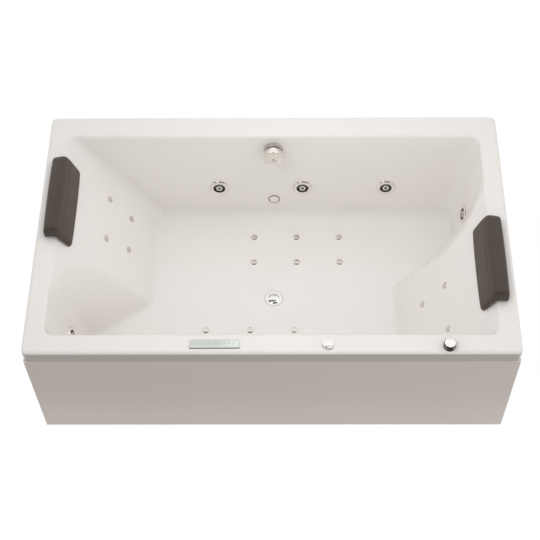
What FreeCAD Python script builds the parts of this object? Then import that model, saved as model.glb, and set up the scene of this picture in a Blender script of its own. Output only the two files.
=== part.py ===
import FreeCAD, Part
import math
import os

from FreeCAD import Placement, Rotation, Vector

# Two-person jetted bathtub, millimetres. X runs along the tub, Y to the back, Z up.
# The origin is on the floor, under the middle of the deck.

# ---------------------------------------------------------------- driving sizes
LENGTH = 1800.0
WIDTH = 1100.0
DECK_HEIGHT = 580.0
SHELL_WALL = 6.0
LIP_DEPTH = 64.0
DECK_CORNER = 22.0
DECK_EDGE = 6.0

# basin: the same shape again when it is turned half round, so two people sit face to face
BASIN_LENGTH = LENGTH - 148.0
BASIN_WIDTH = WIDTH - 184.0
BASIN_SHIFT = -12.0
BASIN_FLOOR = 107.0
FLOOR_ROUND = 30.0
RIM_ROUND = 12.0
SIDE_LEAN = 4.8
END_LEAN = 7.7
BACKREST_LEAN = 35.2
BACKREST_CORNER = 36.0
FOOTWELL_CORNER_AT_FLOOR = 85.0
FOOTWELL_CORNER_AT_DECK = 38.0
RIDGE_OFFSET = 33.0
RIDGE_STRAIGHT_TOP = 330.0
RIDGE_SWEEP = 167.0
RIDGE_BLEND = 22.0
FOOT_OFFSET_AT_FLOOR = 200.0
FOOT_OFFSET_AT_DECK = 260.0
FOOT_BLEND = 30.0
WALL_LEVELS = 6

# water jets: three on each long wall, one at each foot end
JET_PITCH = 350.0
JET_GROUP_SHIFT = 120.0
FOOT_JET_OFFSET = 290.0
JET_PORT_HEIGHT = 271.0
JET_HOLE_R = 28.0
JET_NECK_R = 27.5
JET_FLANGE_R = 40.0
JET_SEAT_R = 37.0
JET_SEAT_THICK = 2.5
JET_FLANGE_HEIGHT = 7.0
JET_BORE_R = 23.1
JET_SLEEVE_R = 23.0
JET_SLEEVE_WALL = 2.2
JET_SLEEVE_DEPTH = 20.0
JET_BODY_R = 30.0
JET_BODY_DEPTH = 62.0
JET_BORE_DEPTH = 44.0
JET_PORT_DEPTH = 46.0
JET_PORT_R = 20.0
JET_PORT_REACH = 44.0
JET_AIR_STUB_R = 8.0
JET_NUT_R = 38.0
JET_NUT_THICK = 10.0
BALL_R = 14.5
BALL_CENTRE_DEPTH = 4.0
BALL_BORE_R = 8.5
BALL_FRONT = 7.0
BALL_REAR = 10.0
SPOUT_R = 11.5
SOCKET_CLEARANCE = 0.06
SOCKET_WALL = 3.0
SPOKE_COUNT = 3
SPOKE_WIDTH = 6.0

# air jets: twelve in the floor, four in each backrest
AIR_ROW_PITCH = 180.0
AIR_ROW_SHIFT = 95.0
AIR_ROW_OFFSETS = (166.0, 293.0)
AIR_CAP_R = 14.0
AIR_CAP_HEIGHT = 3.5
DOME_FLAT_R = 2.0
AIR_STEM_R = 5.0
AIR_STEM_LENGTH = 14.0
AIR_HOLE_R = 6.5
AIR_NUT_R = 12.0
AIR_NUT_THICK = 5.0
AIR_BODY_R = 8.0
AIR_BODY_DEPTH = 21.0
BACKREST_AIR_CENTRE = 211.0
BACKREST_AIR_UPPER = (360.0, 98.0)
BACKREST_AIR_LOWER = (250.0, 78.0)

# pipes
PIPE_WALL = 2.0
AIR_PIPE_R = 8.0
AIR_SUPPLY_R = 14.0
WATER_PIPE_R = 16.0
BRANCH_PIPE_R = 15.0
RISER_PIPE_R = 7.0
WATER_BEND = 48.0
JET_AIR_LINE_R = 7.0
JET_AIR_LINE_RISE = 52.0
SUCTION_PIPE_R = 25.0
OVERFLOW_PIPE_R = 14.0
CONTROL_LINE_R = 2.5
PAD_LINE_HEIGHT = 420.0
BUTTON_LINE_HEIGHT = 470.0
PLUG_CABLE_R = 3.0
HEADER_X = -BASIN_LENGTH / 2 + 496.0
HEADER_HEIGHT = 44.0

# waste, overflow, light and suction
DRAIN_Y = -25.0
RECESS_R = 40.0
RECESS_DEPTH = 5.0
DRAIN_HOLE_R = 26.0
DRAIN_RING_R = 33.5
DRAIN_RING_THICK = 3.0
DRAIN_BORE_R = 21.0
PLUG_R = 25.0
PLUG_THICK = 5.0
PLUG_STEM_R = 4.0
DRAIN_BODY_R = 32.0
DRAIN_BODY_BOTTOM = 16.0
WASTE_PIPE_R = 20.0
WASTE_COLLAR_R = 24.0
WASTE_SPIGOT = 40.0
WASTE_END_X = -150.0
WASTE_HEIGHT = 42.0
OVERFLOW_HEIGHT = 507.0
OVERFLOW_R = 38.0
OVERFLOW_BASE_DEPTH = 22.0
OVERFLOW_GROOVE = 4.0
OVERFLOW_KNOB_DEPTH = 32.0
OVERFLOW_SPINDLE_R = 5.0
SPINDLE_CLEARANCE = 0.05
OVERFLOW_NECK_R = 25.0
OVERFLOW_CHAMBER_R = 30.0
OVERFLOW_CHAMBER_DEPTH = 76.0
OVERFLOW_PIPE_Y = WIDTH / 2 - 50.0
OVERFLOW_RUN_HEIGHT = 40.0
LIGHT_HEIGHT = 202.0
LIGHT_LENS_R = 20.0
LIGHT_RING_R = 24.0
LIGHT_BODY_R = 17.5
LIGHT_BODY_DEPTH = 34.0
SUCTION_HEIGHT = 183.0
SUCTION_COVER_R = 44.0
SUCTION_COVER_HEIGHT = 9.0
SUCTION_SLOTS = 12
SUCTION_CHAMBER_DEPTH = 72.0
SUCTION_PORT_DEPTH = 44.0

# deck fittings on the front rim
PAD_X = -204.0
PAD_Y = -WIDTH / 2 + 38.0
PAD_LENGTH = 180.0
PAD_WIDTH = 34.0
PAD_FRAME_THICK = 3.0
PAD_GLASS_THICK = 2.0
PAD_BORDER = 2.5
BUTTON_X = 203.0
BUTTON_Y = PAD_Y
BUTTON_R = 22.0
BUTTON_GAP = 0.35
BUTTON_RING_R = 25.5
BUTTON_TRAVEL = 3.0
VALVE_X = LENGTH / 2 - 263.0
VALVE_Y = -WIDTH / 2 + 28.0
VALVE_BASE_R = 23.0
VALVE_BASE_HEIGHT = 9.0
VALVE_KNOB_R = 21.5
VALVE_KNOB_HEIGHT = 17.0
DECK_HOLE_R = 14.0
DECK_NUT_R = 19.0
DECK_NUT_THICK = 6.0
STEM_DEPTH = 40.0

# headrests
HEADREST_LENGTH = 370.0
HEADREST_OFFSET = 145.0
HEADREST_OUTER = BASIN_LENGTH / 2 + 40.0
HEADREST_RISE = 46.0
HEADREST_TIP = DECK_HEIGHT - 64.0
HEADREST_CROWN = 4.0
HEADREST_PINCH = 3.0
SOFT_GAP = 0.3

# frame under the tub
FLOOR_GAP = 25.0
TUBE = 30.0
TUBE_WALL = 2.0
POST = 25.0
CROSS_RAIL_X = (-LENGTH / 2 + 140.0, 130.0, LENGTH / 2 - 140.0)
CROSS_RAIL_HALF = WIDTH / 2 - 9.0
LONG_RAIL_OFFSET = 105.0
LONG_RAIL_HALF = LENGTH / 2 - 115.0
BOARD_LENGTH = LENGTH - 920.0
BOARD_WIDTH = 260.0
POST_Y = WIDTH / 2 - 22.0
POST_CAP = 50.0
POST_CAP_DEPTH = 32.0
POST_CAP_THICK = 5.0
FOOT_Y = WIDTH / 2 - 110.0
FOOT_PAD_R = 22.0
FOOT_PAD_HEIGHT = 12.0
FOOT_ROD_R = 6.0
FOOT_ROD_TOP = 48.0
FOOT_ROD_CLEARANCE = 0.1
LOCK_NUT_ACROSS = 19.0
LOCK_NUT_THICK = 8.0
TRAY_THICK = 4.0

# front apron
APRON_THICK = 5.0
APRON_GAP = 0.3
APRON_FLOOR_GAP = 2.0
APRON_RETURN = 28.0
CLIP_WIDTH = 30.0
CLIP_HEIGHTS = (120.0, 460.0)
CLIP_HEIGHT = 24.0

# pump, blower and control box
PUMP_Y = -WIDTH / 2 + 100.0
PUMP_VOLUTE_R = 74.0
PUMP_MOTOR_END = LENGTH / 2 - 28.0
PUMP_VOLUTE_X = (PUMP_MOTOR_END - 207.0, PUMP_MOTOR_END - 137.0)
PUMP_INLET_X = PUMP_VOLUTE_X[0] - 45.0
PUMP_MOTOR_R = 62.0
PUMP_OUTLET_X = PUMP_VOLUTE_X[0] + 35.0
PUMP_OUTLET_TOP = 251.0
MOTOR_LEAD_DROP = 30.0
IMPELLER_R = 52.0
IMPELLER_THICK = 12.0
SHAFT_R = 7.0
SHAFT_CLEARANCE = 0.08
MOTOR_FAN_R = 48.0
MOTOR_FAN_THICK = 8.0
RUNNING_GAP = 4.0
COOLING_FINS = 16
FIN_HEIGHT = 5.0
BLOWER_X = -LENGTH / 2 + 110.0
BLOWER_Y = WIDTH / 2 - 160.0
BLOWER_R = 75.0
BLOWER_CASE_TOP = 150.0
BLOWER_MOTOR_R = 42.0
BLOWER_TOP = 205.0
BLOWER_WALL = 4.0
BLOWER_OUTLET = (BLOWER_X - 10.0, BLOWER_Y - 60.0)
LOOP_TOP = 440.0
SUPPLY_Y = BASIN_SHIFT + AIR_ROW_OFFSETS[1]
BOX_SIZE = (150.0, 150.0, 120.0)
BOX_CORNER = (PUMP_MOTOR_END - 182.0, PUMP_Y + 115.0)
LID_THICK = 12.0
GLAND_R = 11.0
GLAND_LENGTH = 22.0

FLOOR_UNDER = BASIN_FLOOR - SHELL_WALL
DECK_UNDER = DECK_HEIGHT - SHELL_WALL
LIP_BOTTOM = DECK_HEIGHT - LIP_DEPTH
RAIL_TOP = FLOOR_GAP + TUBE
LONG_RAIL_TOP = RAIL_TOP + TUBE
TRAY_TOP = RAIL_TOP + TRAY_THICK
AIR_PIPE_DEPTH = AIR_BODY_DEPTH + AIR_PIPE_R
AIR_PIPE_HEIGHT = BASIN_FLOOR - AIR_PIPE_DEPTH
SIDE = math.radians(SIDE_LEAN)
END = math.radians(END_LEAN)
BACKREST = math.radians(BACKREST_LEAN)

UP = Vector(0, 0, 1)
AHEAD = Vector(1, 0, 0)
BACKWARD = Vector(0, 1, 0)


# ---------------------------------------------------------------- general shapes
def turned(profile, centre=Vector(0, 0, 0), axis=UP):
    """Solid of revolution. The profile is a closed run of (radius, height) points; an entry of
    two points is an arc that goes through the first of them to the second."""
    def point(pair):
        return Vector(pair[0], 0, pair[1])
    edges = []
    here = point(profile[0])
    for step in list(profile[1:]) + [profile[0]]:
        if isinstance(step[0], tuple):
            there = point(step[1])
            edges.append(Part.Arc(here, point(step[0]), there).toShape())
        else:
            there = point(step)
            edges.append(Part.makeLine(here, there))
        here = there
    face = Part.Face(Part.Wire(edges))
    solid = face.revolve(Vector(0, 0, 0), UP, 360)
    solid.Placement = Placement(centre, Rotation(UP, axis))
    return solid


def rod(start, end, radius):
    """Round bar from start to end."""
    run = end - start
    return Part.makeCylinder(radius, run.Length, start, run)


def ring(outer, inner, low, high):
    """Flat ring about the Z axis."""
    return turned([(inner, low), (outer, low), (outer, high), (inner, high)])


def block(low, high):
    """Box between two corners."""
    return Part.makeBox(high[0] - low[0], high[1] - low[1], high[2] - low[2], Vector(*low))


def box_tube(low, high, along, wall=TUBE_WALL):
    """Square steel tube between two corners, open at both ends of the axis it lies along."""
    inner_low = [edge + (0 if axis == along else wall) for axis, edge in enumerate(low)]
    inner_high = [edge - (0 if axis == along else wall) for axis, edge in enumerate(high)]
    return block(low, high).cut(block(inner_low, inner_high))


def bent_path(points, bend):
    """Straight runs joined by tangent arcs of one bend radius."""
    edges = []
    here = points[0]
    for before, corner, after in zip(points, points[1:], points[2:]):
        back = (before - corner).normalize()
        ahead = (after - corner).normalize()
        half_turn_angle = (math.pi - back.getAngle(ahead)) / 2
        leg = bend * math.tan(half_turn_angle)
        middle_way = (back + ahead).normalize()
        centre = corner + middle_way * (bend / math.cos(half_turn_angle))
        start = corner + back * leg
        end = corner + ahead * leg
        edges.append(Part.makeLine(here, start))
        edges.append(Part.Arc(start, centre - middle_way * bend, end).toShape())
        here = end
    edges.append(Part.makeLine(here, points[-1]))
    return Part.Wire(edges)


def bent_rod(points, radius, bend):
    """Round bar that follows a bent path."""
    section = Part.Wire(Part.makeCircle(radius, points[0], points[1] - points[0]))
    return bent_path(points, bend).makePipeShell([section], True, False)


def bent_pipe(points, radius, bend, wall=PIPE_WALL):
    """Pipe with a bore, open at both ends, that follows a bent path."""
    return bent_rod(points, radius, bend).cut(bent_rod(points, radius - wall, bend))


def joined(shapes):
    """Shapes that overlap, fused into one solid."""
    shape = shapes[0].fuse(shapes[1:]) if len(shapes) > 1 else shapes[0]
    return shape.removeSplitter()


def half_turn(shape):
    """The same piece on the other side of the basin: half a turn about its middle."""
    copy = shape.copy()
    copy.rotate(Vector(0, BASIN_SHIFT, 0), UP, 180)
    return copy


def both_sides(shapes):
    """The shapes and their half-turned twins."""
    return shapes + [half_turn(shape) for shape in shapes]


# ---------------------------------------------------------------- basin
def side_half(height):
    """Half width between the two long walls."""
    return BASIN_WIDTH / 2 - (DECK_HEIGHT - height) * math.tan(SIDE)


def end_half(height):
    """From the middle to the steep end wall of a footwell."""
    return BASIN_LENGTH / 2 + 1 - (DECK_HEIGHT - height) * math.tan(END)


def backrest_half(height):
    """From the middle to the sloping backrest."""
    return BASIN_LENGTH / 2 - (DECK_HEIGHT - height) * math.tan(BACKREST)


def ridge_offset(height):
    """Where the backrest ends: straight up from the floor, then swept out towards the rim."""
    rise = max(0.0, height - RIDGE_STRAIGHT_TOP) / (DECK_HEIGHT - RIDGE_STRAIGHT_TOP)
    return RIDGE_OFFSET + RIDGE_SWEEP * rise ** 2


def blend(low, high, height):
    """A value that goes from low at the basin floor to high at the deck."""
    return low + (high - low) * (height - BASIN_FLOOR) / (DECK_HEIGHT - BASIN_FLOOR)


def eased(depth, radius, lean):
    """How far a rounded edge stands off the sharp corner between a level face and a leaning
    wall, at this depth from the level face."""
    reach = radius * (1 - math.sin(lean))
    if depth >= reach:
        return 0.0
    hollow = math.sqrt(radius ** 2 - (radius - max(depth, 0.0)) ** 2)
    return reach / math.cos(lean) - hollow + depth * math.tan(lean)


def basin_outline(height, skin):
    """Level outline of the basin: its face with skin 0, the shell's underside with the wall."""
    def growth(lean):
        inset = eased(height - (BASIN_FLOOR - skin), FLOOR_ROUND + skin, lean)
        flare = eased(DECK_HEIGHT - height, RIM_ROUND, lean) if skin == 0 else 0.0
        return skin / math.cos(lean) - inset + flare

    grow_side = growth(SIDE)
    grow_end = growth(END)
    grow_rest = growth(BACKREST)
    rest = backrest_half(height) + grow_rest
    end = end_half(height) + grow_end
    side = side_half(height) + grow_side
    ridge = ridge_offset(height)
    foot = blend(FOOT_OFFSET_AT_FLOOR, FOOT_OFFSET_AT_DECK, height)
    step = end_half(height) - backrest_half(height)
    turn = math.atan2(step, foot - ridge)
    shift = math.tan((math.pi / 2 - turn) / 2)
    ridge_y = -ridge + grow_rest * shift
    foot_y = -foot + grow_end * shift
    turn = math.atan2(end - rest, ridge_y - foot_y)
    ridge_radius = RIDGE_BLEND / math.tan(turn / 2) - grow_rest
    foot_radius = FOOT_BLEND / math.tan(turn / 2) + grow_end
    footwell = blend(FOOTWELL_CORNER_AT_FLOOR, FOOTWELL_CORNER_AT_DECK, height)
    left = [
        (-rest, side, BACKREST_CORNER + (grow_rest + grow_side) / 2),
        (-rest, ridge_y, ridge_radius),
        (-end, foot_y, foot_radius),
        (-end, -side, footwell + (grow_end + grow_side) / 2),
    ]
    right = [(-x, -y, radius) for x, y, radius in left]
    return [(x, y + BASIN_SHIFT, radius) for x, y, radius in left + right]


def rounded_wire(corners, height):
    """Closed level wire: straight sides joined by tangent arcs at (x, y, radius) corners."""
    arcs = []
    for index, (x, y, radius) in enumerate(corners):
        corner = Vector(x, y, height)
        before = Vector(corners[index - 1][0], corners[index - 1][1], height)
        after_x, after_y, _ = corners[(index + 1) % len(corners)]
        back = (before - corner).normalize()
        ahead = (Vector(after_x, after_y, height) - corner).normalize()
        half = (math.pi - back.getAngle(ahead)) / 2
        inward = (back + ahead).normalize()
        centre = corner + inward * (radius / math.cos(half))
        leg = radius * math.tan(half)
        arcs.append((corner + back * leg, centre - inward * radius, corner + ahead * leg))
    edges = []
    for index, (start, middle, end) in enumerate(arcs):
        edges.append(Part.makeLine(arcs[index - 1][2], start))
        edges.append(Part.Arc(start, middle, end).toShape())
    return Part.Wire(edges)


def basin_solid(skin):
    """The hollow of the basin (skin 0), or the hollow with its wall round it."""
    floor = BASIN_FLOOR - skin
    radius = FLOOR_ROUND + skin
    heights = [floor + radius * (1 - math.cos(math.radians(angle))) for angle in (0, 25, 50, 75)]
    top = DECK_HEIGHT - (RIM_ROUND if skin == 0 else SHELL_WALL / 2)
    heights += [floor + radius]
    heights += [RIDGE_STRAIGHT_TOP + (top - RIDGE_STRAIGHT_TOP) * level / WALL_LEVELS
                for level in range(WALL_LEVELS + 1)]
    if skin == 0:
        heights += [DECK_HEIGHT - RIM_ROUND * (1 - math.cos(math.radians(angle)))
                    for angle in (60, 35, 0)]
    wires = [rounded_wire(basin_outline(height, skin), height) for height in heights]
    if skin == 0:
        above = wires[-1].copy()
        above.translate(UP)
        wires.append(above)
    return Part.makeLoft(wires, True, True)


def rounded_slab(half_x, half_y, corner, low, high):
    """Upright block with rounded vertical corners."""
    corners = [(-half_x, half_y, corner), (-half_x, -half_y, corner),
               (half_x, -half_y, corner), (half_x, half_y, corner)]
    face = Part.Face(rounded_wire(corners, low))
    return face.extrude(Vector(0, 0, high - low))


# ---------------------------------------------------------------- places on the walls
def wall_place(along, height, normal, up, wall_x, wall_y):
    """Placement whose Z leaves the wall into the basin and whose Y climbs the wall."""
    origin = Vector(wall_x, wall_y, height)
    return Placement(origin, Rotation(up.cross(normal), up, normal, "ZXY"))


def on_back_wall(x, height):
    normal = Vector(0, -math.cos(SIDE), math.sin(SIDE))
    climb = Vector(0, math.sin(SIDE), math.cos(SIDE))
    return wall_place(x, height, normal, climb, x, BASIN_SHIFT + side_half(height))


def on_left_end(offset, height):
    normal = Vector(math.cos(END), 0, math.sin(END))
    climb = Vector(-math.sin(END), 0, math.cos(END))
    return wall_place(offset, height, normal, climb, -end_half(height), BASIN_SHIFT + offset)


def on_left_backrest(offset, height):
    normal = Vector(math.cos(BACKREST), 0, math.sin(BACKREST))
    climb = Vector(-math.sin(BACKREST), 0, math.cos(BACKREST))
    return wall_place(offset, height, normal, climb, -backrest_half(height), BASIN_SHIFT + offset)


def on_floor(x, y):
    return Placement(Vector(x, y, BASIN_FLOOR), Rotation())


def on_deck(x, y):
    return Placement(Vector(x, y, DECK_HEIGHT), Rotation())


def turned_place(place):
    """The place that half a turn about the middle of the basin brings this one to."""
    half = Rotation(UP, 180)
    middle = Vector(0, BASIN_SHIFT, 0)
    base = middle + half.multVec(place.Base - middle)
    return Placement(base, half.multiply(place.Rotation))


def at(place, shape):
    """A copy of a shape drawn about the origin, moved to its place."""
    copy = shape.copy()
    copy.Placement = place.multiply(shape.Placement)
    return copy


WALL_JET_HEIGHT = JET_PORT_HEIGHT + JET_PORT_DEPTH * math.sin(SIDE)
FOOT_JET_HEIGHT = JET_PORT_HEIGHT + JET_PORT_DEPTH * math.sin(END)
BACK_JETS = [on_back_wall(JET_GROUP_SHIFT + step * JET_PITCH, WALL_JET_HEIGHT)
             for step in (-1, 0, 1)]
LEFT_FOOT_JET = on_left_end(-FOOT_JET_OFFSET, FOOT_JET_HEIGHT)
JET_PLACES = {
    "back_left_jet": BACK_JETS[0],
    "back_middle_jet": BACK_JETS[1],
    "back_right_jet": BACK_JETS[2],
    "right_foot_jet": turned_place(LEFT_FOOT_JET),
    "front_right_jet": turned_place(BACK_JETS[0]),
    "front_middle_jet": turned_place(BACK_JETS[1]),
    "front_left_jet": turned_place(BACK_JETS[2]),
    "left_foot_jet": LEFT_FOOT_JET,
}
FLOOR_AIR_X = [AIR_ROW_SHIFT + step * AIR_ROW_PITCH for step in (-1, 0, 1)]
BACK_FLOOR_AIR = [on_floor(x, BASIN_SHIFT + offset)
                  for offset in AIR_ROW_OFFSETS for x in FLOOR_AIR_X]
LEFT_BACKREST_AIR = [on_left_backrest(BACKREST_AIR_CENTRE + side * spread, height)
                     for height, spread in (BACKREST_AIR_UPPER, BACKREST_AIR_LOWER)
                     for side in (-1, 1)]
AIR_PLACES = BACK_FLOOR_AIR + LEFT_BACKREST_AIR
AIR_PLACES += [turned_place(place) for place in AIR_PLACES]
OVERFLOW_PLACE = on_back_wall(0.0, OVERFLOW_HEIGHT)
LIGHT_PLACE = on_back_wall(0.0, LIGHT_HEIGHT)
SUCTION_PLACE = turned_place(on_back_wall(0.0, SUCTION_HEIGHT))
DRAIN_PLACE = on_floor(0.0, DRAIN_Y)


# ---------------------------------------------------------------- shell
def make_tub_shell():
    deck = rounded_slab(LENGTH / 2, WIDTH / 2, DECK_CORNER, LIP_BOTTOM, DECK_HEIGHT)
    top_edges = [edge for edge in deck.Edges
                 if all(abs(vertex.Z - DECK_HEIGHT) < 0.01 for vertex in edge.Vertexes)]
    deck = deck.makeFillet(DECK_EDGE, top_edges)
    pocket = rounded_slab(LENGTH / 2 - SHELL_WALL, WIDTH / 2 - SHELL_WALL,
                          DECK_CORNER - SHELL_WALL, LIP_BOTTOM - 1, DECK_UNDER)
    recess_boss = turned([(0, -SHELL_WALL - RECESS_DEPTH), (RECESS_R + SHELL_WALL,
                          -SHELL_WALL - RECESS_DEPTH), (RECESS_R + SHELL_WALL, -1), (0, -1)])
    recess = turned([(0, -RECESS_DEPTH), (RECESS_R - RECESS_DEPTH, -RECESS_DEPTH),
                     (RECESS_R, 1), (0, 1)])
    shell = deck.cut(pocket).fuse([basin_solid(SHELL_WALL), at(DRAIN_PLACE, recess_boss)])
    cuts = [basin_solid(0.0), at(DRAIN_PLACE, recess), at(DRAIN_PLACE, drill(DRAIN_HOLE_R))]
    cuts += [at(place, drill(JET_HOLE_R)) for place in JET_PLACES.values()]
    cuts += [at(place, drill(AIR_HOLE_R)) for place in AIR_PLACES]
    cuts += [at(OVERFLOW_PLACE, drill(OVERFLOW_NECK_R + BUTTON_GAP)),
             at(LIGHT_PLACE, drill(LIGHT_BODY_R + BUTTON_GAP)),
             at(SUCTION_PLACE, drill(JET_HOLE_R))]
    cuts += [at(on_deck(x, y), drill(DECK_HOLE_R)) for x, y in
             ((PAD_X, PAD_Y), (BUTTON_X, BUTTON_Y), (VALVE_X, VALVE_Y))]
    for cut in cuts:
        shell = shell.cut(cut)
    return shell


def drill(radius):
    """Tool for a hole through the shell wall, drawn about a place on its face."""
    reach = SHELL_WALL * 3
    return Part.makeCylinder(radius, 2 * reach, Vector(0, 0, -reach))


# ---------------------------------------------------------------- jets
def jet_body():
    """Moulded body behind the wall: seat in the basin, threaded neck, chamber, three ports."""
    body = turned([
        (0, -JET_BODY_DEPTH), (JET_BODY_R, -JET_BODY_DEPTH), (JET_BODY_R, -SHELL_WALL - 24),
        (JET_NECK_R, -SHELL_WALL - 24), (JET_NECK_R, 0), (JET_SEAT_R, 0),
        (JET_SEAT_R, JET_SEAT_THICK), (JET_BORE_R, JET_SEAT_THICK),
        (JET_BORE_R, -JET_BORE_DEPTH), (0, -JET_BORE_DEPTH)])
    depth = -JET_PORT_DEPTH
    port = rod(Vector(-JET_PORT_REACH, 0, depth), Vector(JET_PORT_REACH, 0, depth), JET_PORT_R)
    port_cut = Part.makeCylinder(JET_BODY_R - 1, JET_BODY_DEPTH, Vector(0, 0, -JET_BODY_DEPTH))
    stub_top = JET_AIR_LINE_RISE - JET_AIR_LINE_R - 1
    stub = rod(Vector(0, JET_BODY_R - 2, depth), Vector(0, stub_top, depth), JET_AIR_STUB_R)
    return joined([body, port.cut(port_cut), stub])


def jet_nut():
    """Back nut that clamps the wall against the seat of the jet body."""
    return ring(JET_NUT_R, JET_NECK_R + 0.3, -SHELL_WALL - JET_NUT_THICK, -SHELL_WALL)


def jet_flange():
    """Bright cover ring with a sleeve, and a spoked socket that carries the nozzle ball."""
    sleeve_bore = JET_SLEEVE_R - JET_SLEEVE_WALL
    seat_top = JET_SEAT_THICK + 0.1
    skirt_r = JET_SEAT_R + 1
    cover = turned([
        (sleeve_bore, -JET_SLEEVE_DEPTH), (JET_SLEEVE_R, -JET_SLEEVE_DEPTH),
        (JET_SLEEVE_R, seat_top), (skirt_r, seat_top), (skirt_r, 0.2), (JET_FLANGE_R, 0.2),
        (JET_FLANGE_R, 2.5), ((JET_FLANGE_R - 3, 5.5), (JET_FLANGE_R - 10, JET_FLANGE_HEIGHT)),
        (sleeve_bore + 4, JET_FLANGE_HEIGHT - 1), (sleeve_bore, 1.5)])
    inner = BALL_R + SOCKET_CLEARANCE
    collar_top = -BALL_CENTRE_DEPTH + 3
    collar_low = -BALL_CENTRE_DEPTH - 7
    collar = ring(inner + SOCKET_WALL, BALL_R - 4, collar_low, collar_top)
    spokes = [Part.makeBox(sleeve_bore + 1 - BALL_R, SPOKE_WIDTH, 5,
                           Vector(BALL_R, -SPOKE_WIDTH / 2, collar_low))
              for _ in range(SPOKE_COUNT)]
    for index, spoke in enumerate(spokes):
        spoke.rotate(Vector(0, 0, 0), UP, 90 + index * 360 / SPOKE_COUNT)
    ball_room = Part.makeSphere(inner, Vector(0, 0, -BALL_CENTRE_DEPTH))
    return joined([cover, collar] + spokes).cut(ball_room)


def jet_nozzle():
    """Nozzle ball with a through bore and a short spout; it tilts in its socket."""
    centre = -BALL_CENTRE_DEPTH
    shoulder = centre + math.sqrt(BALL_R ** 2 - SPOUT_R ** 2)
    rear_r = math.sqrt(BALL_R ** 2 - BALL_REAR ** 2)
    return turned([
        (BALL_BORE_R, centre - BALL_REAR), (rear_r, centre - BALL_REAR),
        ((BALL_R, centre), (SPOUT_R, shoulder)), (SPOUT_R, BALL_FRONT),
        (BALL_BORE_R + 1, BALL_FRONT), (BALL_BORE_R, BALL_FRONT - 2)])


def air_cap():
    """Small bright air jet button with its stem."""
    return turned([(0, -AIR_STEM_LENGTH), (AIR_STEM_R, -AIR_STEM_LENGTH), (AIR_STEM_R, 0),
                   (AIR_CAP_R, 0), (AIR_CAP_R, 1),
                   ((AIR_CAP_R * 0.6, AIR_CAP_HEIGHT - 0.7), (DOME_FLAT_R, AIR_CAP_HEIGHT)),
                   (0, AIR_CAP_HEIGHT)])


def air_body():
    """Air jet body under the wall: nut against the shell, barrel down to the air pipe."""
    bore = AIR_STEM_R + 0.2
    return turned([(bore, -SHELL_WALL), (AIR_NUT_R, -SHELL_WALL),
                   (AIR_NUT_R, -SHELL_WALL - AIR_NUT_THICK),
                   (AIR_BODY_R, -SHELL_WALL - AIR_NUT_THICK),
                   (AIR_BODY_R, -AIR_BODY_DEPTH), (0, -AIR_BODY_DEPTH),
                   (0, -AIR_STEM_LENGTH - 1), (bore, -AIR_STEM_LENGTH - 1)])


# ---------------------------------------------------------------- pipes
def port_point(place, rise=0.0):
    """Centre of a jet body's water ports, or a point that is this far above it."""
    return place.multVec(Vector(0, rise, -JET_PORT_DEPTH))


def around_the_tub(rise):
    """Route past every jet: left foot, front wall, right foot, back wall."""
    left = port_point(JET_PLACES["left_foot_jet"], rise)
    front = port_point(JET_PLACES["front_left_jet"], rise)
    right = port_point(JET_PLACES["right_foot_jet"], rise)
    back = port_point(JET_PLACES["back_left_jet"], rise)
    height = left.z
    return [left, Vector(left.x, front.y, height), Vector(right.x, front.y, height),
            Vector(right.x, back.y, height), Vector(back.x, back.y, height)]


def make_water_pipes():
    """Pressure pipe between the jet bodies, with the branch that the pump feeds."""
    route = around_the_tub(0.0)
    pipe = bent_rod(route, WATER_PIPE_R, WATER_BEND)
    bore = bent_rod(route, WATER_PIPE_R - PIPE_WALL, WATER_BEND)
    branch_foot = Vector(PUMP_OUTLET_X, route[1].y, PUMP_OUTLET_TOP)
    branch_top = Vector(PUMP_OUTLET_X, route[1].y, JET_PORT_HEIGHT)
    branch = rod(branch_foot, branch_top, BRANCH_PIPE_R)
    branch_bore = rod(branch_foot, branch_top, BRANCH_PIPE_R - PIPE_WALL)
    pipe = pipe.fuse(branch).cut(bore.fuse(branch_bore))
    reach = JET_PORT_REACH
    room = block((-reach, -reach, -JET_BODY_DEPTH - 20), (reach, reach, 0))
    return pipe.cut([at(place, room) for place in JET_PLACES.values()])


def make_jet_air_line():
    """Air line over the jet bodies, and the drop from the air valve on the deck."""
    route = around_the_tub(JET_AIR_LINE_RISE)
    line = bent_rod(route, JET_AIR_LINE_R, WATER_BEND)
    height = route[0].z
    stop = route[1].y - JET_AIR_LINE_R
    drop = bent_rod([Vector(VALVE_X, VALVE_Y, DECK_HEIGHT - STEM_DEPTH),
                     Vector(VALVE_X, VALVE_Y, height), Vector(VALVE_X, stop, height)],
                    JET_AIR_LINE_R, JET_AIR_LINE_R + 3)
    return [line, drop]


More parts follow.
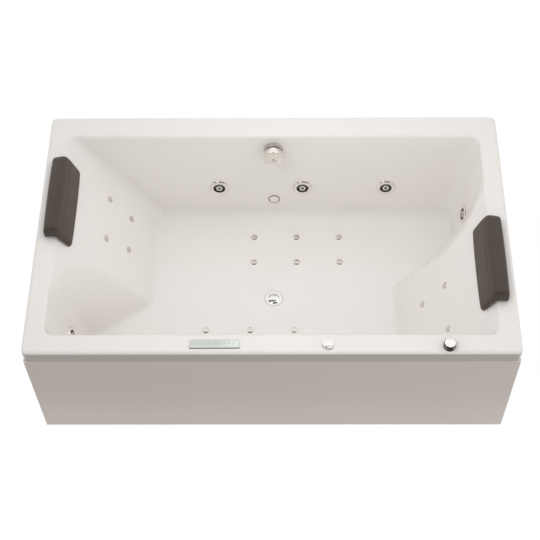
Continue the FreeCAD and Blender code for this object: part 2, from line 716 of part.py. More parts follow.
def make_air_pipes():
    """One pipe under each row of floor air jets; the inner two climb behind the backrests."""
    inner_y = BASIN_SHIFT + AIR_ROW_OFFSETS[0]
    outer_y = BASIN_SHIFT + AIR_ROW_OFFSETS[1]
    row_end = FLOOR_AIR_X[-1] + AIR_BODY_R
    header_side = -HEADER_X + AIR_PIPE_R
    behind = 2 * AIR_PIPE_R + AIR_PIPE_DEPTH
    upper = on_left_backrest(AIR_ROW_OFFSETS[0], BACKREST_AIR_UPPER[0])
    top = upper.multVec(Vector(0, AIR_PIPE_R, -behind))
    climb = upper.Rotation.multVec(BACKWARD)
    bend_x = top.x - climb.x * (top.z - AIR_PIPE_HEIGHT) / climb.z

    def inner(start_x):
        start = Vector(start_x, inner_y, AIR_PIPE_HEIGHT)
        corner = Vector(bend_x, inner_y, AIR_PIPE_HEIGHT)
        return bent_pipe([start, corner, top], AIR_PIPE_R, WATER_BEND)

    def outer(start_x, end_x):
        start = Vector(start_x, outer_y, AIR_PIPE_HEIGHT)
        return bent_pipe([start, Vector(end_x, outer_y, AIR_PIPE_HEIGHT)], AIR_PIPE_R, WATER_BEND)

    rows = [inner(row_end), outer(row_end, -header_side),
            half_turn(inner(header_side)), half_turn(outer(header_side, -row_end + 2 * AIR_ROW_SHIFT))]
    rails = []
    for height, spread in (BACKREST_AIR_UPPER, BACKREST_AIR_LOWER):
        ends = [on_left_backrest(BACKREST_AIR_CENTRE + side * (spread + AIR_BODY_R), height)
                .multVec(Vector(0, 0, -AIR_PIPE_DEPTH)) for side in (-1, 1)]
        rails.append(bent_pipe(ends, AIR_PIPE_R, WATER_BEND))
    return rows + both_sides(rails)


def make_air_header():
    """Pipe across the tub, under the long rails, with a riser to each row."""
    rows = [BASIN_SHIFT + side * offset for side in (-1, 1) for offset in AIR_ROW_OFFSETS]
    header = rod(Vector(HEADER_X, min(rows) - AIR_PIPE_R, HEADER_HEIGHT),
                 Vector(HEADER_X, max(rows) + AIR_PIPE_R, HEADER_HEIGHT), AIR_PIPE_R)
    risers = [rod(Vector(HEADER_X, y, HEADER_HEIGHT),
                  Vector(HEADER_X, y, AIR_PIPE_HEIGHT - AIR_PIPE_R), RISER_PIPE_R) for y in rows]
    return joined([header] + risers)


def make_supply_loop():
    """Blower hose: up over a loop that keeps water out of the blower, then to the header."""
    x, y = BLOWER_OUTLET
    return bent_pipe([Vector(x, y, BLOWER_CASE_TOP + 20), Vector(x, y, LOOP_TOP),
                      Vector(x, SUPPLY_Y, LOOP_TOP), Vector(x, SUPPLY_Y, AIR_PIPE_HEIGHT),
                      Vector(HEADER_X - AIR_PIPE_R, SUPPLY_Y, AIR_PIPE_HEIGHT)],
                     AIR_SUPPLY_R, AIR_SUPPLY_R + 10)


# ---------------------------------------------------------------- waste and overflow
def overflow_base():
    """Bright drum against the wall, with the spindle bore and the neck through the wall."""
    bore = OVERFLOW_SPINDLE_R + SPINDLE_CLEARANCE
    return turned([(bore, -SHELL_WALL * 3), (OVERFLOW_NECK_R, -SHELL_WALL * 3),
                   (OVERFLOW_NECK_R, 0), (OVERFLOW_R, 0), (OVERFLOW_R, OVERFLOW_BASE_DEPTH - 2),
                   (OVERFLOW_R - 2, OVERFLOW_BASE_DEPTH), (bore, OVERFLOW_BASE_DEPTH)])


def overflow_knob():
    """Turning cap with its spindle; a dark groove parts it from the drum."""
    low = OVERFLOW_BASE_DEPTH + OVERFLOW_GROOVE
    top = low + OVERFLOW_KNOB_DEPTH
    knob = turned([(0, -SHELL_WALL * 2), (OVERFLOW_SPINDLE_R, -SHELL_WALL * 2),
                   (OVERFLOW_SPINDLE_R, OVERFLOW_BASE_DEPTH + BUTTON_GAP),
                   (OVERFLOW_R - 7, OVERFLOW_BASE_DEPTH + BUTTON_GAP), (OVERFLOW_R - 7, low),
                   (OVERFLOW_R, low), (OVERFLOW_R, top - 3),
                   ((OVERFLOW_R - 0.9, top - 0.9), (OVERFLOW_R - 3, top)), (0, top)])
    dimple = Part.makeCylinder(2.0, 3.0, Vector(0, 0, top - 1.5))
    marker = Part.makeCylinder(1.6, 3.0, Vector(-OVERFLOW_R * 0.66, -OVERFLOW_R * 0.4, top - 1.5))
    return knob.cut(dimple).cut(marker)


def make_overflow_elbow():
    """Chamber behind the wall that turns the overflow down into its pipe."""
    bore = OVERFLOW_NECK_R + BUTTON_GAP
    inner = OVERFLOW_CHAMBER_R - 3
    chamber = at(OVERFLOW_PLACE, turned([
        (bore, -SHELL_WALL), (OVERFLOW_CHAMBER_R, -SHELL_WALL),
        (OVERFLOW_CHAMBER_R, -OVERFLOW_CHAMBER_DEPTH), (0, -OVERFLOW_CHAMBER_DEPTH),
        (0, 3 - OVERFLOW_CHAMBER_DEPTH), (inner, 3 - OVERFLOW_CHAMBER_DEPTH),
        (inner, -SHELL_WALL * 3 - 2), (bore, -SHELL_WALL * 3 - 2)]))
    socket_low = OVERFLOW_HEIGHT - OVERFLOW_CHAMBER_R - 22
    socket = rod(Vector(0, OVERFLOW_PIPE_Y, socket_low),
                 Vector(0, OVERFLOW_PIPE_Y, OVERFLOW_HEIGHT - inner), OVERFLOW_PIPE_R + 2)
    throat = rod(Vector(0, OVERFLOW_PIPE_Y, socket_low),
                 Vector(0, OVERFLOW_PIPE_Y, OVERFLOW_HEIGHT - inner + 4), OVERFLOW_PIPE_R - PIPE_WALL)
    return chamber.fuse(socket).cut(throat)


def make_overflow_pipe():
    """Pipe from the overflow elbow, down behind the tub and under it to the waste."""
    top = OVERFLOW_HEIGHT - OVERFLOW_CHAMBER_R - 22
    end = DRAIN_Y + DRAIN_BODY_R + 12
    return bent_pipe([Vector(0, OVERFLOW_PIPE_Y, top),
                      Vector(0, OVERFLOW_PIPE_Y, OVERFLOW_RUN_HEIGHT),
                      Vector(0, end, OVERFLOW_RUN_HEIGHT)], OVERFLOW_PIPE_R, WATER_BEND)


def make_plug_cable():
    """Bowden cable beside the overflow pipe, from the knob's chamber to the waste body."""
    x = OVERFLOW_PIPE_R + 2 * PLUG_CABLE_R
    top = OVERFLOW_HEIGHT - OVERFLOW_CHAMBER_R - SOFT_GAP
    end = DRAIN_Y + math.sqrt(DRAIN_BODY_R ** 2 - (x - PLUG_CABLE_R) ** 2) + SOFT_GAP
    return bent_rod([Vector(x, OVERFLOW_PIPE_Y, top),
                     Vector(x, OVERFLOW_PIPE_Y, OVERFLOW_RUN_HEIGHT),
                     Vector(x, end, OVERFLOW_RUN_HEIGHT)], PLUG_CABLE_R, WATER_BEND)


def drain_ring():
    """Bright waste ring in the floor recess, with a cross bar that guides the plug's stem."""
    low = -RECESS_DEPTH
    ring_top = low + DRAIN_RING_THICK
    neck_r = DRAIN_HOLE_R - BUTTON_GAP
    body = turned([(DRAIN_BORE_R, low - 21), (neck_r, low - 21), (neck_r, low),
                   (DRAIN_RING_R, low), (DRAIN_RING_R, ring_top - 1.5),
                   (DRAIN_RING_R - 2.5, ring_top), (DRAIN_BORE_R + 1, ring_top),
                   (DRAIN_BORE_R, ring_top - 1)])
    bar = block((-DRAIN_BORE_R - 1, -5, low - 17), (DRAIN_BORE_R + 1, 5, low - 12))
    stem_hole = Part.makeCylinder(PLUG_STEM_R + SPINDLE_CLEARANCE, 20, Vector(0, 0, low - 24))
    return joined([body, bar]).cut(stem_hole)


def popup_plug():
    """Plug with its stem; it rises to let the water out."""
    seat = DRAIN_RING_THICK - RECESS_DEPTH + SOFT_GAP
    return turned([(0, -RECESS_DEPTH - 30), (PLUG_STEM_R, -RECESS_DEPTH - 30),
                   (PLUG_STEM_R, seat - 4),
                   (DRAIN_BORE_R - 0.5, seat - 4), (DRAIN_BORE_R - 0.5, seat), (PLUG_R, seat),
                   (PLUG_R, seat + 2),
                   ((PLUG_R * 0.65, seat + PLUG_THICK - 1.1), (DOME_FLAT_R, seat + PLUG_THICK)),
                   (0, seat + PLUG_THICK)])


def make_drain_body():
    """Waste cup under the floor with the overflow socket and the spigot for the house drain."""
    top = BASIN_FLOOR - RECESS_DEPTH - SHELL_WALL
    bore = DRAIN_HOLE_R
    inner = DRAIN_BODY_R - 4
    cup = turned([(0, DRAIN_BODY_BOTTOM), (DRAIN_BODY_R, DRAIN_BODY_BOTTOM),
                  (DRAIN_BODY_R, top - 9), (DRAIN_BODY_R + 6, top - 9), (DRAIN_BODY_R + 6, top),
                  (bore, top), (bore, top - 17), (inner, top - 17),
                  (inner, DRAIN_BODY_BOTTOM + 4), (0, DRAIN_BODY_BOTTOM + 4)],
                 Vector(0, DRAIN_Y, 0))
    middle = Vector(0, DRAIN_Y, OVERFLOW_RUN_HEIGHT)
    side = BACKWARD * (DRAIN_BODY_R + 12)
    waste = Vector(0, DRAIN_Y, WASTE_HEIGHT)
    cavity = rod(Vector(0, DRAIN_Y, DRAIN_BODY_BOTTOM + 4), Vector(0, DRAIN_Y, top), inner)
    socket = rod(middle, middle + side, OVERFLOW_PIPE_R + 2)
    waste_end = Vector(WASTE_END_X, DRAIN_Y, WASTE_HEIGHT)
    collar = rod(waste, waste_end + AHEAD * WASTE_SPIGOT, WASTE_COLLAR_R)
    spigot = rod(waste, waste_end, WASTE_PIPE_R)
    bores = [rod(middle, middle + side, OVERFLOW_PIPE_R - PIPE_WALL),
             rod(waste, waste_end, WASTE_PIPE_R - PIPE_WALL)]
    outside = socket.fuse([collar, spigot]).cut(cavity)
    return cup.fuse(outside).cut(bores)


# ---------------------------------------------------------------- light and suction
def light_body():
    """Underwater light housing: ring on the wall and a closed barrel behind it."""
    ring_r = LIGHT_LENS_R + SOFT_GAP
    bore = LIGHT_BODY_R - 2
    return turned([(0, -LIGHT_BODY_DEPTH), (LIGHT_BODY_R, -LIGHT_BODY_DEPTH), (LIGHT_BODY_R, 0),
                   (LIGHT_RING_R, 0), (LIGHT_RING_R, 1.8), (LIGHT_RING_R - 1.5, 2.8),
                   (ring_r, 2.8), (ring_r, 0.4), (bore, 0.4), (bore, 3 - LIGHT_BODY_DEPTH),
                   (0, 3 - LIGHT_BODY_DEPTH)])


def light_lens():
    """White lens that sits in the light's ring."""
    tail = LIGHT_BODY_R - 2 - SOFT_GAP
    return turned([(0, -3), (tail, -3), (tail, 0.5), (LIGHT_LENS_R, 0.5), (LIGHT_LENS_R, 2.2),
                   ((LIGHT_LENS_R / 2, 3.3), (DOME_FLAT_R, 3.6)), (0, 3.6)])


def suction_body():
    """Suction housing behind the front wall, with a side port for the pump's suction pipe."""
    depth = -SUCTION_PORT_DEPTH
    chamber_r = SUCTION_PIPE_R + 9
    body = turned([(0, -SUCTION_CHAMBER_DEPTH), (chamber_r, -SUCTION_CHAMBER_DEPTH),
                   (chamber_r, -SHELL_WALL - 10), (JET_NECK_R, -SHELL_WALL - 10),
                   (JET_NECK_R, 0), (JET_SEAT_R, 0), (JET_SEAT_R, JET_SEAT_THICK),
                   (JET_BORE_R, JET_SEAT_THICK), (JET_BORE_R, -SUCTION_CHAMBER_DEPTH + 6),
                   (0, -SUCTION_CHAMBER_DEPTH + 6)])
    port = rod(Vector(0, 0, depth), Vector(-chamber_r - 14, 0, depth), SUCTION_PIPE_R + 2)
    port = port.cut(Part.makeCylinder(chamber_r - 1, SUCTION_CHAMBER_DEPTH,
                                      Vector(0, 0, -SUCTION_CHAMBER_DEPTH)))
    bore = rod(Vector(0, 0, depth), Vector(-chamber_r - 14, 0, depth), SUCTION_PIPE_R - PIPE_WALL)
    return body.fuse(port).cut(bore)


def suction_cover():
    """Slotted safety cover over the suction, plugged into its bore."""
    low = JET_SEAT_THICK + 0.1
    top = SUCTION_COVER_HEIGHT
    tail = JET_BORE_R - 0.2
    cover = turned([(tail - 2, -12), (tail, -12), (tail, low), (SUCTION_COVER_R - 3, low),
                    (SUCTION_COVER_R - 3, 0.2), (SUCTION_COVER_R, 0.2), (SUCTION_COVER_R, 3),
                    ((SUCTION_COVER_R - 6, top - 2), (SUCTION_COVER_R - 16, top)), (0, top),
                    (0, top - 3), (tail - 2, top - 3)])
    slot = block((8, -2, -1), (tail - 4, 2, top + 1))
    for index in range(SUCTION_SLOTS):
        turned_slot = slot.copy()
        turned_slot.rotate(Vector(0, 0, 0), UP, index * 360 / SUCTION_SLOTS)
        cover = cover.cut(turned_slot)
    return cover


SUCTION_PORT = SUCTION_PLACE.multVec(Vector(0, 0, -SUCTION_PORT_DEPTH))
PUMP_AXIS_HEIGHT = SUCTION_PORT.z


def make_suction_pipe():
    """Pipe from the suction housing, with a double bend into the pump's inlet."""
    start = Vector(SUCTION_PIPE_R + 9 + 14, SUCTION_PORT.y, PUMP_AXIS_HEIGHT)
    bend_x = PUMP_INLET_X - SUCTION_PIPE_R
    return bent_pipe([start, Vector(bend_x - 60, SUCTION_PORT.y, PUMP_AXIS_HEIGHT),
                      Vector(bend_x, PUMP_Y, PUMP_AXIS_HEIGHT),
                      Vector(PUMP_INLET_X, PUMP_Y, PUMP_AXIS_HEIGHT)], SUCTION_PIPE_R, WATER_BEND)


# ---------------------------------------------------------------- deck fittings
def centred_block(length, width, low, high):
    return block((-length / 2, -width / 2, low), (length / 2, width / 2, high))


def touch_pad_frame():
    """Thin frame on the deck that holds the glass, with its cable stub through the deck."""
    plate = centred_block(PAD_LENGTH, PAD_WIDTH, 0, PAD_FRAME_THICK)
    pocket = centred_block(PAD_LENGTH - 2 * PAD_BORDER, PAD_WIDTH - 2 * PAD_BORDER,
                           PAD_FRAME_THICK - PAD_GLASS_THICK, PAD_FRAME_THICK + 1)
    stub = Part.makeCylinder(DECK_HOLE_R - 4, SHELL_WALL * 3 + 1, Vector(0, 0, -SHELL_WALL * 3))
    return joined([plate.cut(pocket), stub])


def touch_pad_glass():
    """Glass of the touch pad, a hair proud of its frame."""
    border = PAD_BORDER + SOFT_GAP
    low = PAD_FRAME_THICK - PAD_GLASS_THICK
    glass = centred_block(PAD_LENGTH - 2 * border, PAD_WIDTH - 2 * border, low,
                          PAD_FRAME_THICK + 0.4)
    return glass.makeChamfer(0.3, [edge for edge in glass.Edges
                                   if all(v.Z > PAD_FRAME_THICK for v in edge.Vertexes)])


def push_button_body():
    """Housing of the air button: ring on the deck, closed barrel with a bore for the stem."""
    bore = OVERFLOW_SPINDLE_R + SPINDLE_CLEARANCE
    barrel = DECK_HOLE_R - 1
    well = BUTTON_R + BUTTON_GAP
    return turned([(0, -STEM_DEPTH), (barrel, -STEM_DEPTH), (barrel, 0), (BUTTON_RING_R, 0),
                   (BUTTON_RING_R, 3), (BUTTON_RING_R - 1, 3.8), (well, 3.8), (well, 0.9),
                   (bore, 0.9), (bore, -STEM_DEPTH + 8), (0, -STEM_DEPTH + 8)])


def push_button():
    """Low domed cap with its stem; it presses down by the button's travel."""
    low = 0.9 + BUTTON_TRAVEL + SOFT_GAP
    return turned([(0, -STEM_DEPTH / 2), (OVERFLOW_SPINDLE_R, -STEM_DEPTH / 2),
                   (OVERFLOW_SPINDLE_R, low), (BUTTON_R, low), (BUTTON_R, low + 1),
                   ((BUTTON_R * 0.62, low + 3.4), (DOME_FLAT_R, low + 4.6)), (0, low + 4.6)])


def air_valve_body():
    """Air regulator under the deck: lower tier of the knob, barrel and hose end."""
    bore = OVERFLOW_SPINDLE_R + SPINDLE_CLEARANCE
    barrel = DECK_HOLE_R - 1
    return turned([(0, -STEM_DEPTH), (barrel, -STEM_DEPTH), (barrel, 0), (VALVE_BASE_R, 0),
                   (VALVE_BASE_R, VALVE_BASE_HEIGHT - 2), (VALVE_BASE_R - 2, VALVE_BASE_HEIGHT),
                   (bore, VALVE_BASE_HEIGHT), (bore, -STEM_DEPTH + 12), (0, -STEM_DEPTH + 12)])


def air_valve_knob():
    """Upper tier: turning cap with a pointer dimple."""
    low = VALVE_BASE_HEIGHT + SOFT_GAP
    top = low + VALVE_KNOB_HEIGHT
    knob = turned([(0, -STEM_DEPTH / 2), (OVERFLOW_SPINDLE_R, -STEM_DEPTH / 2),
                   (OVERFLOW_SPINDLE_R, low), (VALVE_KNOB_R - 1, low), (VALVE_KNOB_R, low + 1),
                   (VALVE_KNOB_R, top - 2), (VALVE_KNOB_R - 2, top), (0, top)])
    return knob.cut(Part.makeCylinder(1.5, 2, Vector(0, VALVE_KNOB_R - 5, top - 1)))


def deck_nut():
    return ring(DECK_NUT_R, DECK_HOLE_R - 0.7, -SHELL_WALL - DECK_NUT_THICK, -SHELL_WALL)


# ---------------------------------------------------------------- headrests
def headrest_section(y, swell):
    """Outline across the left headrest: a lobe on the rim, a ridge and a flap that leans on the
    backrest. swell pushes the open faces out; a negative one draws them in."""
    deck = DECK_HEIGHT + SOFT_GAP
    stand_off = SOFT_GAP / math.cos(BACKREST) + 0.4

    def back_x(height):
        return -backrest_half(height) + stand_off

    top = DECK_HEIGHT + HEADREST_RISE + swell
    outer = -HEADREST_OUTER - swell
    edge = -BASIN_LENGTH / 2
    tip = HEADREST_TIP - swell / 2
    front_low = Vector(back_x(tip) + 10 + swell, y, tip + 9)
    front_high = Vector(edge + 28 + swell, y, top - 20)
    ridge = Vector(edge + 4, y, top + 3)
    reach = RIM_ROUND * (1 - math.sin(BACKREST)) / math.cos(BACKREST)

    def over_rim(angle):
        radius = RIM_ROUND + 2 * SOFT_GAP
        return Vector(edge - reach + radius * math.cos(angle), y,
                      DECK_HEIGHT - RIM_ROUND + radius * math.sin(angle))

    outer_foot = Vector(outer + 9, y, deck)
    rim_start = Vector(edge - reach - 1, y, deck)
    rim_end = over_rim(BACKREST)
    tip_back = Vector(back_x(tip), y, tip)
    shoulder = Vector(outer + 8, y, top - 4)
    edges = [Part.makeLine(outer_foot, rim_start),
             Part.Arc(rim_start, over_rim((math.pi / 2 + BACKREST) / 2), rim_end).toShape(),
             Part.makeLine(rim_end, tip_back)]
    edges.append(Part.Arc(tip_back, Vector(back_x(tip) + 7 + swell / 2, y, tip - 0.5),
                          front_low).toShape())
    edges.append(Part.makeLine(front_low, front_high))
    edges.append(Part.Arc(front_high, Vector(edge + 20 + swell, y, top - 3), ridge).toShape())
    edges.append(Part.makeLine(ridge, shoulder))
    edges.append(Part.Arc(shoulder, Vector(outer + 2, y, top - 7),
                          Vector(outer, y, top - 13)).toShape())
    edges.append(Part.makeLine(Vector(outer, y, top - 13), Vector(outer, y, DECK_HEIGHT + 12)))
    edges.append(Part.makeLine(Vector(outer, y, DECK_HEIGHT + 12), outer_foot))
    return Part.Wire(edges)


def make_left_headrest():
    """Moulded foam headrest, crowned along its length and drawn in at its ends."""
    middle = BASIN_SHIFT + HEADREST_OFFSET
    half = HEADREST_LENGTH / 2
    stations = [(-half, -HEADREST_PINCH), (8 - half, 0.0), (-half / 2, HEADREST_CROWN * 0.75),
                (0.0, HEADREST_CROWN), (half / 2, HEADREST_CROWN * 0.75), (half - 8, 0.0),
                (half, -HEADREST_PINCH)]
    wires = [headrest_section(middle + offset, swell) for offset, swell in stations]
    return Part.makeLoft(wires, True, False)


# ---------------------------------------------------------------- frame
def make_cross_rails():
    """Steel tubes across the tub; each has a hole under both ends for a foot's rod."""
    rails = []
    for x in CROSS_RAIL_X:
        rail = box_tube((x - TUBE / 2, -CROSS_RAIL_HALF, FLOOR_GAP),
                        (x + TUBE / 2, CROSS_RAIL_HALF, RAIL_TOP), 1)
        for y in (-FOOT_Y, FOOT_Y):
            hole = Part.makeCylinder(FOOT_ROD_R + FOOT_ROD_CLEARANCE, 4 * TUBE_WALL,
                                     Vector(x, y, FLOOR_GAP - 2 * TUBE_WALL))
            rail = rail.cut(hole)
        rails.append(rail)
    return rails


def make_long_rails():
    """Steel tubes along the tub that carry the floor board."""
    return [box_tube((-LONG_RAIL_HALF, BASIN_SHIFT + side * LONG_RAIL_OFFSET - TUBE / 2, RAIL_TOP),
                     (LONG_RAIL_HALF, BASIN_SHIFT + side * LONG_RAIL_OFFSET + TUBE / 2,
                      LONG_RAIL_TOP), 0) for side in (-1, 1)]


def make_floor_board():
    """Board bonded under the basin floor, with a hole round the waste."""
    board = block((-BOARD_LENGTH / 2, BASIN_SHIFT - BOARD_WIDTH / 2, LONG_RAIL_TOP),
                  (BOARD_LENGTH / 2, BASIN_SHIFT + BOARD_WIDTH / 2, FLOOR_UNDER))
    hole_r = RECESS_R + SHELL_WALL + 4
    return board.cut(Part.makeCylinder(hole_r, BOARD_WIDTH, Vector(0, DRAIN_Y, 0)))


def make_rim_posts():
    """Posts from the ends of the cross rails to the underside of the deck, with cap plates."""
    posts = []
    for x in CROSS_RAIL_X:
        for side in (-1, 1):
            y = side * POST_Y
            cap_low = DECK_UNDER - POST_CAP_THICK
            post = box_tube((x - POST / 2, y - POST / 2, RAIL_TOP),
                            (x + POST / 2, y + POST / 2, cap_low), 2)
            cap_y = sorted((side * (WIDTH / 2 - SHELL_WALL - 1),
                            side * (WIDTH / 2 - SHELL_WALL - 1 - POST_CAP_DEPTH)))
            cap = block((x - POST_CAP / 2, cap_y[0], cap_low),
                        (x + POST_CAP / 2, cap_y[1], DECK_UNDER))
            posts.append(post.fuse(cap))
    return posts


def levelling_foot(x, y):
    """Screw foot: round pad on the floor and a rod up into the cross rail."""
    return turned([(0, 0), (FOOT_PAD_R, 0), (FOOT_PAD_R, FOOT_PAD_HEIGHT - 5),
                   (FOOT_ROD_R + 3, FOOT_PAD_HEIGHT), (FOOT_ROD_R, FOOT_PAD_HEIGHT),
                   (FOOT_ROD_R, FOOT_ROD_TOP), (0, FOOT_ROD_TOP)], Vector(x, y, 0))


def lock_nut(x, y):
    """Hexagon nut under the cross rail, round a foot's rod."""
    radius = LOCK_NUT_ACROSS / math.sqrt(3)
    low = FLOOR_GAP - LOCK_NUT_THICK
    corners = [Vector(x + radius * math.cos(math.radians(60 * side)),
                      y + radius * math.sin(math.radians(60 * side)), low) for side in range(7)]
    nut = Part.Face(Part.makePolygon(corners)).extrude(Vector(0, 0, LOCK_NUT_THICK))
    return nut.cut(Part.makeCylinder(FOOT_ROD_R + FOOT_ROD_CLEARANCE, TUBE, Vector(x, y, 0)))


def make_trays():
    """Steel plates on the end cross rails: one for pump and control box, one for the blower."""
    pump_tray = block((PUMP_INLET_X + 25, -POST_Y + POST / 2 + 2, RAIL_TOP),
                      (PUMP_MOTOR_END + 8, BOX_CORNER[1] + BOX_SIZE[1] + 5, TRAY_TOP))
    reach = BLOWER_R + 5
    blower_tray = block((BLOWER_X - reach, BLOWER_Y - reach, RAIL_TOP),
                        (BLOWER_X + reach, BLOWER_Y + reach, TRAY_TOP))
    return [pump_tray, blower_tray]


def make_front_apron():
    """Removable front panel with returns along its ends and its foot."""
    front = -WIDTH / 2
    top = LIP_BOTTOM - APRON_GAP
    half = LENGTH / 2
    panel = block((-half, front, APRON_FLOOR_GAP), (half, front + APRON_RETURN, top))
    inside = block((APRON_THICK - half, front + APRON_THICK, APRON_FLOOR_GAP + APRON_THICK),
                   (half - APRON_THICK, front + APRON_RETURN + 1, top + 1))
    panel = panel.cut(inside)
    corners = [edge for edge in panel.Edges
               if all(abs(v.Y - front) < 0.01 for v in edge.Vertexes)]
    return panel.makeFillet(APRON_THICK * 0.6, corners)


def make_apron_clips():
    """Spring clips between the posts and the back of the apron."""
    return [block((x - CLIP_WIDTH / 2, -WIDTH / 2 + APRON_THICK, height - CLIP_HEIGHT / 2),
                  (x + CLIP_WIDTH / 2, -POST_Y - POST / 2, height + CLIP_HEIGHT / 2))
            for x in CROSS_RAIL_X for height in CLIP_HEIGHTS]


# ---------------------------------------------------------------- pump, blower, controls
PUMP_FRONT = Vector(PUMP_VOLUTE_X[0], PUMP_Y, PUMP_AXIS_HEIGHT)
VOLUTE_LENGTH = PUMP_VOLUTE_X[1] - PUMP_VOLUTE_X[0]
MOTOR_LENGTH = PUMP_MOTOR_END - PUMP_VOLUTE_X[1]
IMPELLER_AT = 24.0
FAN_AT = MOTOR_LENGTH - 20


def make_pump_wet_end():
    """Volute with the inlet on the pump's axis and the outlet rising from its side."""
    inlet = PUMP_INLET_X - PUMP_VOLUTE_X[0]
    outside = turned([(0, inlet), (SUCTION_PIPE_R + 3, inlet), (SUCTION_PIPE_R + 3, 0),
                      (PUMP_VOLUTE_R - 18, 0), (PUMP_VOLUTE_R, 14),
                      (PUMP_VOLUTE_R, VOLUTE_LENGTH - 14), (PUMP_VOLUTE_R - 12, VOLUTE_LENGTH),
                      (0, VOLUTE_LENGTH)], PUMP_FRONT, AHEAD)
    hole = SHAFT_R + SHAFT_CLEARANCE
    room = IMPELLER_R + RUNNING_GAP
    inside = turned([(0, inlet - 1), (SUCTION_PIPE_R - PIPE_WALL, inlet - 1),
                     (SUCTION_PIPE_R - PIPE_WALL, IMPELLER_AT - RUNNING_GAP),
                     (room, IMPELLER_AT - RUNNING_GAP),
                     (room, IMPELLER_AT + IMPELLER_THICK + RUNNING_GAP),
                     (hole, IMPELLER_AT + IMPELLER_THICK + RUNNING_GAP),
                     (hole, VOLUTE_LENGTH + 1), (0, VOLUTE_LENGTH + 1)], PUMP_FRONT, AHEAD)
    outlet_y = port_point(JET_PLACES["front_left_jet"]).y
    foot = Vector(PUMP_OUTLET_X, outlet_y, PUMP_AXIS_HEIGHT)
    top = Vector(PUMP_OUTLET_X, outlet_y, PUMP_OUTLET_TOP)
    outside = outside.fuse(rod(foot, top, WATER_PIPE_R + 4))
    return outside.cut([inside, rod(foot, top, WATER_PIPE_R - PIPE_WALL)])


def make_pump_motor():
    """Finned motor case with its cast foot and a slotted fan cover."""
    start = Vector(PUMP_VOLUTE_X[1], PUMP_Y, PUMP_AXIS_HEIGHT)
    case = turned([(0, 0), (PUMP_MOTOR_R, 0), (PUMP_MOTOR_R, 6),
                   (PUMP_MOTOR_R - FIN_HEIGHT, 8), (PUMP_MOTOR_R - FIN_HEIGHT, FAN_AT - 8),
                   (PUMP_MOTOR_R, FAN_AT - 6), (PUMP_MOTOR_R, MOTOR_LENGTH - 4),
                   (PUMP_MOTOR_R - 4, MOTOR_LENGTH), (0, MOTOR_LENGTH)], start, AHEAD)
    fins = []
    for index in range(COOLING_FINS):
        fin = block((7, -1.5, PUMP_MOTOR_R - FIN_HEIGHT - 2), (FAN_AT - 7, 1.5, PUMP_MOTOR_R))
        fin.translate(start)
        fin.rotate(start, AHEAD, index * 360 / COOLING_FINS)
        fins.append(fin)
    foot = block((PUMP_VOLUTE_X[1] + 20, PUMP_Y - PUMP_MOTOR_R * 0.8, TRAY_TOP),
                 (PUMP_MOTOR_END - 30, PUMP_Y + PUMP_MOTOR_R * 0.8, PUMP_AXIS_HEIGHT - 40))
    hole = SHAFT_R + SHAFT_CLEARANCE
    fan_low = FAN_AT - RUNNING_GAP
    fan_high = FAN_AT + MOTOR_FAN_THICK + RUNNING_GAP
    room = turned([(0, -1), (hole, -1), (hole, fan_low), (MOTOR_FAN_R + RUNNING_GAP, fan_low),
                   (MOTOR_FAN_R + RUNNING_GAP, fan_high), (0, fan_high)], start, AHEAD)
    slots = []
    for index in range(8):
        slot = block((fan_high - 1, -3, 14), (MOTOR_LENGTH + 1, 3, MOTOR_FAN_R - 2))
        slot.translate(start)
        slot.rotate(start, AHEAD, index * 45)
        slots.append(slot)
    return case.fuse(fins + [foot]).cut([room] + slots)


def make_pump_rotor():
    """Impeller, shaft and cooling fan that turn together."""
    fan = VOLUTE_LENGTH + FAN_AT
    end = fan + MOTOR_FAN_THICK + 2
    back = IMPELLER_AT + IMPELLER_THICK
    return turned([(0, IMPELLER_AT - 2), (16, IMPELLER_AT - 2), (18, IMPELLER_AT + 3),
                   (IMPELLER_R, IMPELLER_AT + 5), (IMPELLER_R, back), (SHAFT_R, back),
                   (SHAFT_R, fan), (MOTOR_FAN_R, fan), (MOTOR_FAN_R, fan + MOTOR_FAN_THICK),
                   (SHAFT_R, fan + MOTOR_FAN_THICK), (SHAFT_R, end), (0, end)],
                  PUMP_FRONT, AHEAD)


def make_blower_case():
    """Blower housing on its tray: fan case, motor hood and outlet stub."""
    centre = Vector(BLOWER_X, BLOWER_Y, 0)
    hole = OVERFLOW_SPINDLE_R + SPINDLE_CLEARANCE
    room = BLOWER_R - BLOWER_WALL
    case = turned([
        (0, TRAY_TOP), (BLOWER_R, TRAY_TOP), (BLOWER_R, BLOWER_CASE_TOP),
        (BLOWER_MOTOR_R, BLOWER_CASE_TOP), (BLOWER_MOTOR_R, BLOWER_TOP - 8),
        (BLOWER_MOTOR_R - 8, BLOWER_TOP), (0, BLOWER_TOP), (0, BLOWER_TOP - 12),
        (hole, BLOWER_TOP - 12), (hole, BLOWER_CASE_TOP - BLOWER_WALL),
        (room, BLOWER_CASE_TOP - BLOWER_WALL), (room, TRAY_TOP + BLOWER_WALL),
        (0, TRAY_TOP + BLOWER_WALL)], centre)
    x, y = BLOWER_OUTLET
    low = Vector(x, y, BLOWER_CASE_TOP - BLOWER_WALL / 2)
    top = Vector(x, y, BLOWER_CASE_TOP + 20)
    bore = rod(Vector(x, y, BLOWER_CASE_TOP - BLOWER_WALL - 1), top, AIR_SUPPLY_R - PIPE_WALL)
    return case.fuse(rod(low, top, AIR_SUPPLY_R)).cut(bore)


